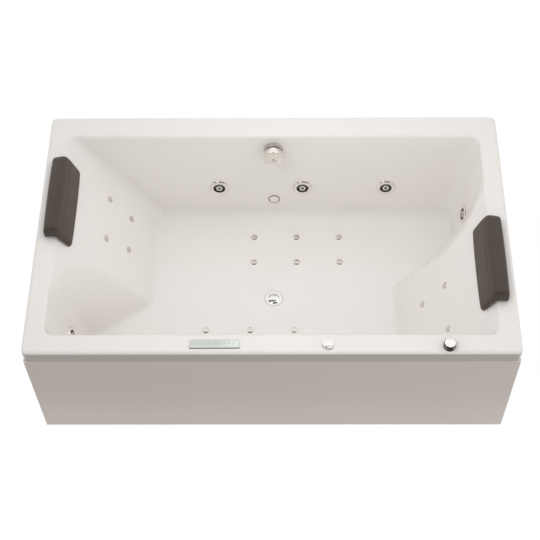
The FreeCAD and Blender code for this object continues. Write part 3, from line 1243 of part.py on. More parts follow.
def make_blower_rotor():
    """Blower fan on its motor spindle."""
    low = TRAY_TOP + BLOWER_WALL + RUNNING_GAP
    wheel_r = BLOWER_R - BLOWER_WALL - RUNNING_GAP
    return turned([(0, low), (wheel_r, low), (wheel_r, low + 3), (14, low + 6), (14, low + 40),
                   (OVERFLOW_SPINDLE_R, low + 44), (OVERFLOW_SPINDLE_R, BLOWER_TOP - 14),
                   (0, BLOWER_TOP - 14)], Vector(BLOWER_X, BLOWER_Y, 0))


def make_control_box():
    """Open electrical box on the pump tray, with a cable gland on its end."""
    low = Vector(BOX_CORNER[0], BOX_CORNER[1], TRAY_TOP)
    length, depth, height = BOX_SIZE
    wall = 3
    box = Part.makeBox(length, depth, height, low)
    box = box.cut(Part.makeBox(length - 2 * wall, depth - 2 * wall, height,
                               low + Vector(wall, wall, wall)))
    face = Vector(low.x + length, low.y + depth / 2, low.z + height / 2)
    gland = turned([(0, 0), (GLAND_R, 0), (GLAND_R, 9), (GLAND_R - 3, 10),
                    (GLAND_R - 4, GLAND_LENGTH), (4, GLAND_LENGTH), (4, 2), (0, 2)], face, AHEAD)
    return box.fuse(gland)


def make_control_box_lid():
    low = Vector(BOX_CORNER[0] - 1, BOX_CORNER[1] - 1, TRAY_TOP + BOX_SIZE[2])
    lid = Part.makeBox(BOX_SIZE[0] + 2, BOX_SIZE[1] + 2, LID_THICK, low)
    return lid.makeFillet(3, [edge for edge in lid.Edges
                              if all(v.Z > low.z + 1 for v in edge.Vertexes)])


def make_control_lines():
    """Held lines: touch pad cable and button air tube to the control box, and the motor lead."""
    lid_top = TRAY_TOP + BOX_SIZE[2] + LID_THICK
    box_end = BOX_CORNER[0] + BOX_SIZE[0] - 40
    box_middle = BOX_CORNER[1] + BOX_SIZE[1] / 2
    lines = []
    for x, top, run, box_x, box_y in (
            (PAD_X, DECK_HEIGHT - SHELL_WALL * 3, PAD_LINE_HEIGHT, box_end, box_middle + 30),
            (BUTTON_X, DECK_HEIGHT - STEM_DEPTH, BUTTON_LINE_HEIGHT, box_end - 30, box_middle)):
        lines.append(bent_rod([Vector(x, PAD_Y, top), Vector(x, PAD_Y, run),
                               Vector(box_x, PAD_Y, run), Vector(box_x, box_y, run),
                               Vector(box_x, box_y, lid_top)], CONTROL_LINE_R, 4 * CONTROL_LINE_R))
    x = PUMP_VOLUTE_X[1] + 3
    motor_side = PUMP_Y + math.sqrt(PUMP_MOTOR_R ** 2 - (MOTOR_LEAD_DROP - CONTROL_LINE_R) ** 2)
    lead_height = PUMP_AXIS_HEIGHT - MOTOR_LEAD_DROP
    lines.append(rod(Vector(x, motor_side, lead_height),
                     Vector(x, BOX_CORNER[1], lead_height), CONTROL_LINE_R))
    return lines


# ---------------------------------------------------------------- the pieces, by name
PARTS = {}
PARTS["tub_shell"] = [make_tub_shell()]
PARTS["front_apron"] = [make_front_apron()]
PARTS["apron_clips"] = make_apron_clips()
PARTS["floor_board"] = [make_floor_board()]
PARTS["long_rails"] = make_long_rails()
PARTS["cross_rails"] = make_cross_rails()
PARTS["rim_posts"] = make_rim_posts()
PARTS["equipment_trays"] = make_trays()
PARTS["foot_lock_nuts"] = [lock_nut(x, y) for x in CROSS_RAIL_X for y in (-FOOT_Y, FOOT_Y)]
for row, y in (("front", -FOOT_Y), ("back", FOOT_Y)):
    for column, x in zip(("left", "middle", "right"), CROSS_RAIL_X):
        PARTS[row + "_" + column + "_foot"] = [levelling_foot(x, y)]

PARTS["left_headrest"] = [make_left_headrest()]
PARTS["right_headrest"] = [half_turn(make_left_headrest())]

PARTS["jet_bodies"] = [at(place, jet_body()) for place in JET_PLACES.values()]
PARTS["jet_flanges"] = [at(place, jet_flange()) for place in JET_PLACES.values()]
for name, place in JET_PLACES.items():
    PARTS[name + "_nozzle"] = [at(place, jet_nozzle())]
PARTS["air_jet_caps"] = [at(place, air_cap()) for place in AIR_PLACES]
PARTS["air_jet_bodies"] = [at(place, air_body()) for place in AIR_PLACES]
PARTS["water_pipes"] = make_water_pipes().Solids + [make_suction_pipe()]
PARTS["jet_air_line"] = make_jet_air_line()
PARTS["air_pipes"] = make_air_pipes() + [make_air_header()]
PARTS["blower_hose"] = [make_supply_loop()]

PARTS["overflow_base"] = [at(OVERFLOW_PLACE, overflow_base())]
PARTS["overflow_knob"] = [at(OVERFLOW_PLACE, overflow_knob())]
PARTS["overflow_elbow"] = [make_overflow_elbow()]
PARTS["overflow_pipe"] = [make_overflow_pipe()]
PARTS["plug_cable"] = [make_plug_cable()]
PARTS["drain_ring"] = [at(DRAIN_PLACE, drain_ring())]
PARTS["popup_plug"] = [at(DRAIN_PLACE, popup_plug())]
PARTS["drain_body"] = [make_drain_body()]
PARTS["light_body"] = [at(LIGHT_PLACE, light_body())]
PARTS["light_lens"] = [at(LIGHT_PLACE, light_lens())]
PARTS["suction_body"] = [at(SUCTION_PLACE, suction_body())]
PARTS["suction_cover"] = [at(SUCTION_PLACE, suction_cover())]

PAD_PLACE = on_deck(PAD_X, PAD_Y)
BUTTON_PLACE = on_deck(BUTTON_X, BUTTON_Y)
VALVE_PLACE = on_deck(VALVE_X, VALVE_Y)
PARTS["touch_pad_frame"] = [at(PAD_PLACE, touch_pad_frame())]
PARTS["touch_pad_glass"] = [at(PAD_PLACE, touch_pad_glass())]
PARTS["push_button_body"] = [at(BUTTON_PLACE, push_button_body())]
PARTS["push_button"] = [at(BUTTON_PLACE, push_button())]
PARTS["air_valve_body"] = [at(VALVE_PLACE, air_valve_body())]
PARTS["air_valve_knob"] = [at(VALVE_PLACE, air_valve_knob())]
PARTS["fitting_nuts"] = [at(place, jet_nut()) for place in [*JET_PLACES.values(), SUCTION_PLACE]]
PARTS["fitting_nuts"] += [at(place, deck_nut()) for place in (BUTTON_PLACE, VALVE_PLACE)]
PARTS["fitting_nuts"] += [at(LIGHT_PLACE, ring(LIGHT_RING_R, LIGHT_BODY_R + 0.3,
                                               -SHELL_WALL - DECK_NUT_THICK, -SHELL_WALL))]

PARTS["pump_wet_end"] = [make_pump_wet_end()]
PARTS["pump_motor"] = [make_pump_motor()]
PARTS["pump_rotor"] = [make_pump_rotor()]
PARTS["blower_case"] = [make_blower_case()]
PARTS["blower_rotor"] = [make_blower_rotor()]
PARTS["control_box"] = [make_control_box()]
PARTS["control_box_lid"] = [make_control_box_lid()]
PARTS["control_lines"] = make_control_lines()

os.makedirs("parts", exist_ok=True)
for name, solids in PARTS.items():
    shape = solids[0] if len(solids) == 1 else Part.makeCompound(solids)
    shape.exportStep("parts/" + name + ".step")
    print(name, len(shape.Solids), "solids", round(shape.Volume / 1000), "cm3", shape.isValid())
print(len(PARTS), "nodes")
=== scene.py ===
# %% [markdown]
# A two-person bathtub with water jets, seen from high up in front. The tub is one glossy acrylic
# moulding: a flat rim, two sloping backrests that face each other and two footwells beside
# them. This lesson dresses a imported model. The model's pieces are the fixed frame, so every
# new surface is worked out from the same few sizes that the model was built from.

# %% Start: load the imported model
import math

import bmesh
import bpy
import numpy as np
from mathutils import Matrix, Vector


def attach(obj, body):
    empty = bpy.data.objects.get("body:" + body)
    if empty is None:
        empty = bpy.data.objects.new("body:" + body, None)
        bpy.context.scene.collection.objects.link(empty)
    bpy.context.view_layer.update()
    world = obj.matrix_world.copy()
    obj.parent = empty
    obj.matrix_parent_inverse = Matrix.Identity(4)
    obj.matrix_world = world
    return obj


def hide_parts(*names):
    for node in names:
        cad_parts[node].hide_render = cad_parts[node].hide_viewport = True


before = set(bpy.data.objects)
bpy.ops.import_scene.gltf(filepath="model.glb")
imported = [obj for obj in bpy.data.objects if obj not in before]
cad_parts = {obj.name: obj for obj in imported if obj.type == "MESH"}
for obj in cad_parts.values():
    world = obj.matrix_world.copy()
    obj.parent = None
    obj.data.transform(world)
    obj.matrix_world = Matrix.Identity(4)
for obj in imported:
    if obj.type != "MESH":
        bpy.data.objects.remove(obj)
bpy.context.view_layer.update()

# %% [markdown]
# The photograph was taken with a long lens from above the front edge. Four corners of the
# rim and two of the panel's foot fix the camera: its place, how far it looks down, and a
# small turn and roll. Blender's camera looks along its own -Z, so its axes are built as three
# columns: to the right, up, and backwards.

# %% Camera at the photograph's place
PHOTO_WIDTH = 540
focal_pixels = 1218.5
middle_column = 276.7
pitch, yaw, roll = (math.radians(angle) for angle in (56.76, -1.10, -1.03))
camera_place = (0.067, -2.684, 4.378)
look = Vector((math.sin(yaw) * math.cos(pitch), math.cos(yaw) * math.cos(pitch), -math.sin(pitch)))
level_right = Vector((math.cos(yaw), -math.sin(yaw), 0))
level_up = level_right.cross(look)
right = math.cos(roll) * level_right + math.sin(roll) * level_up
up = -math.sin(roll) * level_right + math.cos(roll) * level_up
lens = bpy.data.cameras.new("photo_camera")
lens.sensor_width = 36
lens.lens = focal_pixels / PHOTO_WIDTH * lens.sensor_width
lens.shift_x = -(middle_column - (PHOTO_WIDTH - 1) / 2) / PHOTO_WIDTH
lens.clip_end = 50
camera = bpy.data.objects.new("photo_camera", lens)
bpy.context.scene.collection.objects.link(camera)
axes = Matrix((right, up, -look)).transposed().to_4x4()
camera.matrix_world = Matrix.Translation(camera_place) @ axes
bpy.context.scene.camera = camera
print("lens", round(lens.lens, 1), "mm")

# %% [markdown]
# A shader can ask what kind of ray has met it, with the Light Path node, and where that was,
# with Texture Coordinate. Both give plain numbers, and Math nodes turn these into masks between
# 0 and 1. These few helpers keep such sums to one line each. The room, the floor and the touch
# pad all use them.

# %% Sums in shader nodes
scene = bpy.context.scene
scene.view_settings.view_transform = "Standard"


def calculate(tree, operation, *inputs, clamp=False):
    """Socket of a Math node. Each input is a socket or a number; clamp keeps the result from 0
    to 1."""
    node = tree.nodes.new("ShaderNodeMath")
    node.operation = operation
    node.use_clamp = clamp
    for socket, value in zip(node.inputs, inputs):
        if isinstance(value, (int, float)):
            socket.default_value = value
        else:
            tree.links.new(value, socket)
    return node.outputs[0]


def seen_directly(tree):
    """Socket that is 1 for a ray from the camera, from a mirror or through glass."""
    path = tree.nodes.new("ShaderNodeLightPath")
    direct = calculate(tree, "MAXIMUM", path.outputs["Is Camera Ray"],
                       path.outputs["Is Glossy Ray"])
    return calculate(tree, "MAXIMUM", direct, path.outputs["Is Transmission Ray"])


def rising(tree, value, low, high, top=1.0):
    """Socket that climbs smoothly from 0, where value is low, to top, where it is high."""
    ramp = tree.nodes.new("ShaderNodeMapRange")
    ramp.interpolation_type = "SMOOTHSTEP"
    ramp.inputs["From Min"].default_value = low
    ramp.inputs["From Max"].default_value = high
    ramp.inputs["To Max"].default_value = top
    tree.links.new(value, ramp.inputs["Value"])
    return ramp.outputs["Result"]


def seen_by_mirrors(tree, mask):
    """Socket: the mask for a mirror's ray, and 0 for any other."""
    path = tree.nodes.new("ShaderNodeLightPath")
    return calculate(tree, "MULTIPLY", path.outputs["Is Glossy Ray"], mask)


def coordinates(tree):
    """Sockets x, y and z: a place on a surface, or a direction in the sky."""
    place = tree.nodes.new("ShaderNodeTexCoord")
    split = tree.nodes.new("ShaderNodeSeparateXYZ")
    tree.links.new(place.outputs["Object"], split.inputs[0])
    return split.outputs


def blended(tree, share, under, over):
    """Shader socket: under, with this share of over in its place."""
    node = tree.nodes.new("ShaderNodeMixShader")
    for socket, value in zip(node.inputs, (share, under, over)):
        tree.links.new(value, socket)
    return node.outputs[0]


print("view transform", scene.view_settings.view_transform)

# %% [markdown]
# The tub stands in a white studio. Rays that the camera sees, and rays that mirrors or glass
# send on, meet plain white; all other rays meet a softer grey, which is the light that fills
# every corner. Plating in an all-white room looks like paper, so mirrors alone also meet two
# dark places: the high front of the room, where a photographer would stand, and the floor
# before the tub.

# %% White room
FILL = 0.74
MIRROR_SHADE = 0.93


def background(tree, colour, strength=1.0):
    """Shader socket of a sky with one colour."""
    node = tree.nodes.new("ShaderNodeBackground")
    node.inputs["Color"].default_value = (*colour, 1)
    node.inputs["Strength"].default_value = strength
    return node.outputs[0]


world = bpy.data.worlds.new("white_studio")
world.use_nodes = True
scene.world = world
tree = world.node_tree
tree.nodes.clear()
room = blended(tree, seen_directly(tree), background(tree, (1.0, 0.98, 0.965), FILL),
               background(tree, (1, 1, 1)))
# A mirror's ray meets the shade where it rises by 14 to 27 degrees or more, and points to the
# front or at most 3 to 20 degrees to the back.
towards = coordinates(tree)
high_front = calculate(tree, "MULTIPLY", rising(tree, towards[2], 0.25, 0.45),
                       rising(tree, towards[1], 0.34, 0.06, MIRROR_SHADE))
room = blended(tree, seen_by_mirrors(tree, high_front), room,
               background(tree, (0.05, 0.045, 0.04)))
sky = tree.nodes.new("ShaderNodeOutputWorld")
tree.links.new(room, sky.inputs[0])
print("fill light", FILL)

# %% [markdown]
# Real light in such a room comes from a few large soft boxes, so every lamp here is an area
# lamp. A wide one overhead lights the rim, and a thin strip beside it gives the footwells their
# crisper shade. Two beams from high left and high right brighten the basin's far ends, and a
# lamp low on the right lights the right end of the front edge.

# %% Lamps
def soft_lamp(name, place, target, size, watts, spread=180, width=None):
    """Area lamp at a place, turned to a target, with its beam's spread in degrees. It is square,
    or a strip along X where a width is given."""
    data = bpy.data.lights.new(name, "AREA")
    data.size = size
    if width:
        data.shape = "RECTANGLE"
        data.size_y = width
    data.energy = watts
    data.spread = math.radians(spread)
    lamp = bpy.data.objects.new(name, data)
    scene.collection.objects.link(lamp)
    lamp.location = place
    lamp.rotation_euler = (Vector(target) - Vector(place)).to_track_quat("-Z", "Y").to_euler()


soft_lamp("overhead_lamp", (0.5, 0.4, 3.6), (0.1, 0.0, 0.3), 2.4, 1.0)
soft_lamp("strip_lamp", (0.3, -0.25, 3.5), (0.2, 0.05, 0.3), 2.0, 1.6, width=0.05)
soft_lamp("high_left_lamp", (-1.1, -0.9, 3.3), (0.75, 0.32, 0.2), 1.0, 1.4, 50)
soft_lamp("high_right_lamp", (1.6, 0.2, 3.0), (-0.6, -0.05, 0.2), 1.0, 0.8, 40)
soft_lamp("near_right_lamp", (3.0, -1.5, 0.9), (0.8, -0.5, 0.5), 1.0, 6)
print(len(bpy.data.lights), "lamps")

# %% [markdown]
# The floor is a plain pale sheet. For the camera it is mostly white light with a little real
# shading, so the tub keeps a faint shadow on an otherwise white page. Where mirrors look down
# at the floor before the tub they meet the sheet's own grey.

# %% Floor
def stage_floor(half=12.0, drop=0.0005):
    """Flat square that reaches half to each side, and lies a drop under the feet."""
    mesh = bpy.data.meshes.new("studio_floor")
    corners = np.array([(-half, -half, -drop), (half, -half, -drop),
                        (half, half, -drop), (-half, half, -drop)])
    mesh.from_pydata(corners, [], [(0, 1, 2, 3)])
    floor = bpy.data.objects.new("studio_floor", mesh)
    scene.collection.objects.link(floor)
    return floor


PAPER_GREY, GLOW, GLOW_SHARE = 0.22, 1.16, 0.86
floor = stage_floor()
paper = bpy.data.materials.new("white_paper")
paper.use_nodes = True
tree = paper.node_tree
tree.nodes.clear()
matt = tree.nodes.new("ShaderNodeBsdfDiffuse")
matt.inputs["Color"].default_value = (PAPER_GREY, PAPER_GREY, PAPER_GREY, 1)
glow = tree.nodes.new("ShaderNodeEmission")
glow.inputs["Strength"].default_value = GLOW
before_tub = rising(tree, coordinates(tree)[1], -0.60, -0.72, MIRROR_SHADE)
lit = calculate(tree, "SUBTRACT", seen_directly(tree), seen_by_mirrors(tree, before_tub),
                clamp=True)
share = calculate(tree, "MULTIPLY", lit, GLOW_SHARE)
sheet = tree.nodes.new("ShaderNodeOutputMaterial")
tree.links.new(blended(tree, share, matt.outputs[0], glow.outputs[0]), sheet.inputs[0])
floor.data.materials.append(paper)
print("floor", tuple(round(side, 1) for side in floor.dimensions[:2]), "m")

# %% [markdown]
# Every finish is a Principled shader fed by noise. Real mouldings and platings are never one
# flat colour: the tone wanders a little, gloss is uneven where hands and cloths have been, and
# a fine bump breaks the reflections. One helper makes all of them, and each finish is then a
# line of plain numbers. What is the same all over a piece sits on the shader's own socket.

# %% Finishes
def tone(red, green, blue):
    """Linear colour of a screen colour given as 0-255."""
    screen = np.array([red, green, blue]) / 255
    linear = np.where(screen <= 0.04045, screen / 12.92, ((screen + 0.055) / 1.055) ** 2.4)
    return (*[float(v) for v in linear], 1.0)


def finish(name, light, dark, gloss, grain, bump, scale, metal=0.0, coat=0.0, see_through=0.0,
           index=1.5):
    """Procedural finish. light and dark are the two tones that a slow noise mixes; gloss is the
    (lowest, highest) roughness that a second noise of this scale moves between; grain is the
    fine noise's scale and bump its depth in metres."""
    material = bpy.data.materials.new(name)
    material.use_nodes = True
    tree = material.node_tree
    shader = tree.nodes["Principled BSDF"]
    place = tree.nodes.new("ShaderNodeTexCoord")

    def noise(size, detail):
        """Socket of a noise of this scale, from 0 to 1, on the piece's own coordinates."""
        node = tree.nodes.new("ShaderNodeTexNoise")
        node.inputs["Scale"].default_value = size
        node.inputs["Detail"].default_value = detail
        tree.links.new(place.outputs["Object"], node.inputs["Vector"])
        return node.outputs["Fac"]

    ramp = tree.nodes.new("ShaderNodeMix")
    ramp.data_type = "RGBA"
    ramp.inputs["A"].default_value = dark
    ramp.inputs["B"].default_value = light
    tree.links.new(noise(scale * 0.12, 3), ramp.inputs["Factor"])
    tree.links.new(ramp.outputs["Result"], shader.inputs["Base Color"])
    wear = tree.nodes.new("ShaderNodeMapRange")
    wear.inputs["From Min"].default_value = 0.3
    wear.inputs["From Max"].default_value = 0.7
    wear.inputs["To Min"].default_value = gloss[0]
    wear.inputs["To Max"].default_value = gloss[1]
    tree.links.new(noise(scale, 4), wear.inputs["Value"])
    tree.links.new(wear.outputs["Result"], shader.inputs["Roughness"])
    relief = tree.nodes.new("ShaderNodeBump")
    relief.inputs["Distance"].default_value = bump
    relief.inputs["Strength"].default_value = 1.0
    tree.links.new(noise(grain, 2), relief.inputs["Height"])
    tree.links.new(relief.outputs["Normal"], shader.inputs["Normal"])
    shader.inputs["Metallic"].default_value = metal
    shader.inputs["IOR"].default_value = index
    shader.inputs["Coat Weight"].default_value = coat
    shader.inputs["Coat Roughness"].default_value = 0.06
    shader.inputs["Transmission Weight"].default_value = see_through
    return material


def plating(name, light, dark, gloss):
    """Chromed metal: a finish whose grain is very fine and hardly deep."""
    return finish(name, light, dark, gloss, 300, 0.000004, scale=60, metal=1.0)


ACRYLIC = finish("white_acrylic", tone(249, 246, 243), tone(246, 243, 240), (0.10, 0.17),
                 90, 0.00002, scale=9, coat=0.15, index=1.49)
# The same acrylic, darker: painted shade on the outside of the rim.
LIP_PAINTED_SHADE = finish("acrylic_lip_painted_shade", tone(222, 215, 209), tone(217, 210, 204), (0.12, 0.2),
                  90, 0.00002, scale=9, coat=0.15, index=1.49)
PANEL = finish("panel_acrylic", tone(246, 237, 230), tone(244, 235, 228), (0.34, 0.40),
               60, 0.000004, scale=6, index=1.49)
BACKING = finish("glass_fibre_backing", tone(206, 200, 186), tone(176, 170, 156), (0.45, 0.7),
                 160, 0.0012, scale=40)
CHROME = plating("chrome_plating", tone(249, 248, 247), tone(238, 237, 236), (0.05, 0.10))
SOFT_CHROME = plating("soft_chrome", tone(246, 240, 235), tone(236, 230, 225), (0.08, 0.14))
LIGHT_PLATING = plating("light_plating", tone(158, 151, 145), tone(140, 133, 128), (0.14, 0.22))
COVER_PLATING = finish("cover_plating", tone(246, 241, 237), tone(238, 233, 229), (0.10, 0.16),
                       300, 0.000006, scale=80, metal=0.9)
BUTTON_PLATING = plating("button_plating", tone(232, 226, 221), tone(222, 216, 211), (0.05, 0.09))
DRUM_PLATING = plating("drum_plating", tone(214, 206, 200), tone(200, 192, 186), (0.26, 0.34))
# Chrome painted darker: a painted dark reflection on the sides of the air valve.
PAINTED_DARK_REFLECTION = plating("chrome_painted_dark_reflection", tone(112, 104, 98), tone(96, 89, 84), (0.08, 0.14))
SATIN_CHROME = finish("satin_chrome", tone(196, 190, 185), tone(176, 170, 165), (0.22, 0.32),
                      400, 0.00001, scale=60, metal=1.0)
NOZZLE = finish("nozzle_plating", tone(240, 236, 232), tone(224, 220, 216), (0.16, 0.24),
                300, 0.00001, scale=80, metal=0.7)
# Dark plastic of the hidden jet bodies and the overflow cap's dot, and painted shade in the jets'
# throats, the nozzles' bores, the overflow's neck and the cap's centre hole.
DARK_MOULDING_AND_PAINTED_SHADE = finish("dark_moulding_and_painted_shade", tone(58, 57, 57), tone(38, 37, 38), (0.35, 0.5),
                   250, 0.00004, scale=60)
WHITE_PLASTIC = finish("white_moulding", tone(226, 225, 221), tone(212, 210, 205), (0.28, 0.4),
                       220, 0.00003, scale=50)
WHITE_PIPE = finish("white_pipe", tone(230, 231, 231), tone(214, 215, 216), (0.2, 0.32),
                    200, 0.00003, scale=40, coat=0.1)
CLEAR_HOSE = finish("milky_hose", tone(214, 222, 226), tone(190, 200, 206), (0.18, 0.3),
                    260, 0.00004, scale=60, see_through=0.35)
GREY_HOSE = finish("grey_pipe", tone(132, 134, 136), tone(112, 114, 116), (0.35, 0.5),
                   260, 0.00005, scale=60)
BLACK_PLASTIC = finish("black_plastic", tone(44, 44, 46), tone(28, 28, 30), (0.38, 0.55),
                       320, 0.00008, scale=80)
ZINC = finish("zinc_coated_steel", tone(178, 182, 186), tone(142, 147, 152), (0.32, 0.5),
              140, 0.00006, scale=60, metal=0.9)
BRIGHT_ZINC = finish("bright_zinc", tone(206, 206, 204), tone(176, 176, 176), (0.2, 0.35),
                     260, 0.00003, scale=120, metal=1.0)
CHIPBOARD = finish("chipboard", tone(196, 168, 126), tone(150, 118, 80), (0.65, 0.85),
                   420, 0.0005, scale=600)
MOTOR_PAINT = finish("motor_enamel", tone(46, 58, 78), tone(34, 43, 58), (0.28, 0.45),
                     300, 0.00008, scale=60, coat=0.2)
BOX_PLASTIC = finish("light_grey_box", tone(206, 206, 202), tone(190, 190, 186), (0.35, 0.5),
                     420, 0.00008, scale=60)
LENS = finish("milky_lens", tone(247, 243, 240), tone(243, 238, 234), (0.12, 0.2),
              200, 0.00002, scale=60, coat=0.3)
print(len(bpy.data.materials), "finishes")

# %% [markdown]
# The acrylic moulding is one continuous skin: up the outside of the rim, over the rim, down
# the basin wall and across the floor to the waste. Seen from above it is a stack of level
# outlines. Each outline has eight corners, four on the left and the same four turned half
# round: back corner, end of the backrest, start of the footwell and front corner. The walls
# lean, so the sizes of an outline follow from its height alone.

# %% Sizes of the moulding, in metres
LENGTH, WIDTH, DECK = 1.8, 1.1, 0.58
LIP_BOTTOM = DECK - 0.064
RIM_CORNER = 0.022
BASIN_LENGTH, BASIN_WIDTH, BASIN_SHIFT, BASIN_FLOOR = 1.652, 0.916, -0.012, 0.107
SIDE, END, BACKREST = (math.radians(angle) for angle in (4.8, 7.7, 35.2))
FLOOR_ROUND, RIM_ROUND, EDGE_ROUND, SKIN = 0.030, 0.012, 0.014, 0.006
BACKREST_CORNER, RIDGE_BLEND, FOOT_BLEND = 0.036, 0.022, 0.030
FOOTWELL_CORNER, FOOTWELL_CORNER_CLOSES = 0.085, 0.047
RIDGE_OFFSET, RIDGE_SWEEP, RIDGE_STRAIGHT_TOP = 0.033, 0.167, 0.33
FOOT_OFFSET, FOOT_OFFSET_GROWS = 0.20, 0.06
END_REACH = 0.001


def side_half(height):
    """Half width: the side walls close in by tan(lean) for each metre below the deck."""
    return BASIN_WIDTH / 2 - (DECK - height) * math.tan(SIDE)


def end_half(height):
    """Middle to the footwell's steep end wall, which leans in the same way and starts a little
    further out."""
    return BASIN_LENGTH / 2 + END_REACH - (DECK - height) * math.tan(END)


def backrest_half(height):
    """Middle to the sloping backrest, with the backrest's own lean."""
    return BASIN_LENGTH / 2 - (DECK - height) * math.tan(BACKREST)


def ridge_offset(height):
    """End of the backrest: straight up to 330 mm, then swept out with the square of the rise."""
    rise = np.maximum(0, height - RIDGE_STRAIGHT_TOP) / (DECK - RIDGE_STRAIGHT_TOP)
    return RIDGE_OFFSET + RIDGE_SWEEP * rise ** 2


def eased(depth, radius, lean):
    """Stand-off of a quarter-round from the sharp corner of a level face and a leaning wall:
    the tangent length minus the hollow of the circle, plus what the lean adds; 0 past it."""
    reach = radius * (1 - math.sin(lean))
    inside = np.clip(depth, 0, reach)
    hollow = np.sqrt(radius ** 2 - (radius - inside) ** 2)
    return np.where(depth >= reach, 0, reach / math.cos(lean) - hollow + inside * math.tan(lean))


def basin_corners(height):
    """Arrays (levels, 8) of corner x, y and radius for an array of heights. A corner is where
    two walls of that level cross. Near the floor and the rim the walls step in or out by what
    their rounds take. Where the slant between backrest and footwell starts and ends, that step
    moves the corner along Y by tan((90 degrees - the slant's turn)/2) times its size."""
    def growth(lean):
        """Step outwards by the rim's round, less the step inwards by the floor's."""
        inset = eased(height - BASIN_FLOOR, FLOOR_ROUND, lean)
        return eased(DECK - height, RIM_ROUND, lean) - inset

    grow_side, grow_end, grow_rest = growth(SIDE), growth(END), growth(BACKREST)
    share = (height - BASIN_FLOOR) / (DECK - BASIN_FLOOR)
    ridge, foot = ridge_offset(height), FOOT_OFFSET + FOOT_OFFSET_GROWS * share
    turn = np.arctan2(end_half(height) - backrest_half(height), foot - ridge)
    shift = np.tan((math.pi / 2 - turn) / 2)
    rest, end = backrest_half(height) + grow_rest, end_half(height) + grow_end
    side = side_half(height) + grow_side
    ridge_y, foot_y = -ridge + grow_rest * shift, -foot + grow_end * shift
    turn = np.arctan2(end - rest, ridge_y - foot_y)
    x = np.stack([-rest, -rest, -end, -end], 1)
    y = np.stack([side, ridge_y, foot_y, -side], 1)
    footwell_corner = FOOTWELL_CORNER - FOOTWELL_CORNER_CLOSES * share
    radius = np.stack([BACKREST_CORNER + (grow_rest + grow_side) / 2,
                       RIDGE_BLEND / np.tan(turn / 2) - grow_rest,
                       FOOT_BLEND / np.tan(turn / 2) + grow_end,
                       footwell_corner + (grow_end + grow_side) / 2], 1)
    return (np.concatenate([x, -x], 1), np.concatenate([y, -y], 1) + BASIN_SHIFT,
            np.concatenate([radius, radius], 1))


print("basin at the rim", BASIN_LENGTH, "x", BASIN_WIDTH)

# %% [markdown]
# An outline becomes points: twelve steps round each corner and fifteen along each side, the same
# on every level. So point 100 of one level lies above point 100 of the next, and the wall
# between them is a plain grid of quads.

# %% Outlines with rounded corners
ARC_STEPS, SIDE_STEPS = 12, 15
PER_CORNER = ARC_STEPS + 1 + SIDE_STEPS + 1


def rounded_outline(x, y, radius):
    """Points (levels, n, 2) round closed outlines. Each corner is an arc: its ends lie
    radius*tan(half turn) from the corner, its middle line points inward, and the points between
    follow the circle by blending the two end radii with sines. Straight sides are divided
    evenly, with points close to both ends so that the shading stays flat."""
    corner = np.stack([x, y], -1)
    back = np.roll(corner, 1, 1) - corner
    ahead = np.roll(corner, -1, 1) - corner
    back /= np.linalg.norm(back, axis=-1, keepdims=True)
    ahead /= np.linalg.norm(ahead, axis=-1, keepdims=True)
    half = (math.pi - np.arccos(np.clip((back * ahead).sum(-1), -1, 1)))[..., None] / 2
    inward = back + ahead
    inward /= np.linalg.norm(inward, axis=-1, keepdims=True)
    radius = radius[..., None]
    centre = corner + inward * radius / np.cos(half)
    start = corner + back * radius * np.tan(half)
    end = corner + ahead * radius * np.tan(half)
    t = np.linspace(0, 1, ARC_STEPS + 1)[:, None]
    angle = 2 * half[..., None, :]
    arc = (np.sin((1 - t) * angle) * (start - centre)[..., None, :]
           + np.sin(t * angle) * (end - centre)[..., None, :]) / np.sin(angle)
    arc = arc + centre[..., None, :]
    after = np.roll(start, -1, 1)
    share = np.concatenate([[0.03], np.linspace(0, 1, SIDE_STEPS + 1)[1:-1], [0.97]])[:, None]
    side = end[..., None, :] * (1 - share) + after[..., None, :] * share
    ring = np.concatenate([arc, side], -2)
    return ring.reshape(ring.shape[0], -1, 2)


print("points round the basin", PER_CORNER * 8)

# %% [markdown]
# The rim's outer edge has only four corners, so each of the basin's points needs a partner on
# it. The points of a true corner go to the corner's arc; all others slide straight out to the
# nearest edge, spread evenly along it, so that no quad of the flat rim folds.

# %% Outer edge of the rim, matched point by point
def directions(angle):
    """Unit vectors (n, 2) at an array of angles: cosine and sine."""
    return np.stack([np.cos(angle), np.sin(angle)], 1)


def outer_outline(inset, top):
    """Rounded rectangle, drawn in by inset, with the same point order as the basin's top
    outline: corner arcs for corners 0, 3, 4 and 7, straight runs in between."""
    half_x, half_y, radius = LENGTH / 2 - inset, WIDTH / 2 - inset, RIM_CORNER - inset
    result = np.zeros_like(top)
    quarter = np.linspace(0, math.pi / 2, ARC_STEPS + 1)
    corners = {0: (-1, 1, 90), 3: (-1, -1, 180), 4: (1, -1, 270), 7: (1, 1, 0)}
    for index, (side_x, side_y, first) in corners.items():
        centre = np.array([side_x * (half_x - radius), side_y * (half_y - radius)])
        arc = centre + radius * directions(math.radians(first) + quarter)
        result[index * PER_CORNER:index * PER_CORNER + ARC_STEPS + 1] = arc

    def run(arc_corner, end_corner, along, fixed):
        """Straight run from after one corner's arc to the next true corner: the coordinate
        along the edge keeps its share of the way, and stops 3% short of the arcs."""
        points = slice(arc_corner * PER_CORNER + ARC_STEPS + 1, end_corner * PER_CORNER)
        picked = top[points, along]
        low, high = picked[0], picked[-1]
        reach = 0.97 * ((half_x if along == 0 else half_y) - radius)
        share = (picked - low) / (high - low)
        sign = 1 if high > low else -1
        result[points, along] = sign * (share * 2 - 1) * reach
        result[points, 1 - along] = fixed

    run(0, 3, 1, -half_x)
    run(3, 4, 0, -half_y)
    run(4, 7, 1, half_x)
    run(7, 8, 0, half_y)
    return result


print("rim", LENGTH, "x", WIDTH, "m")

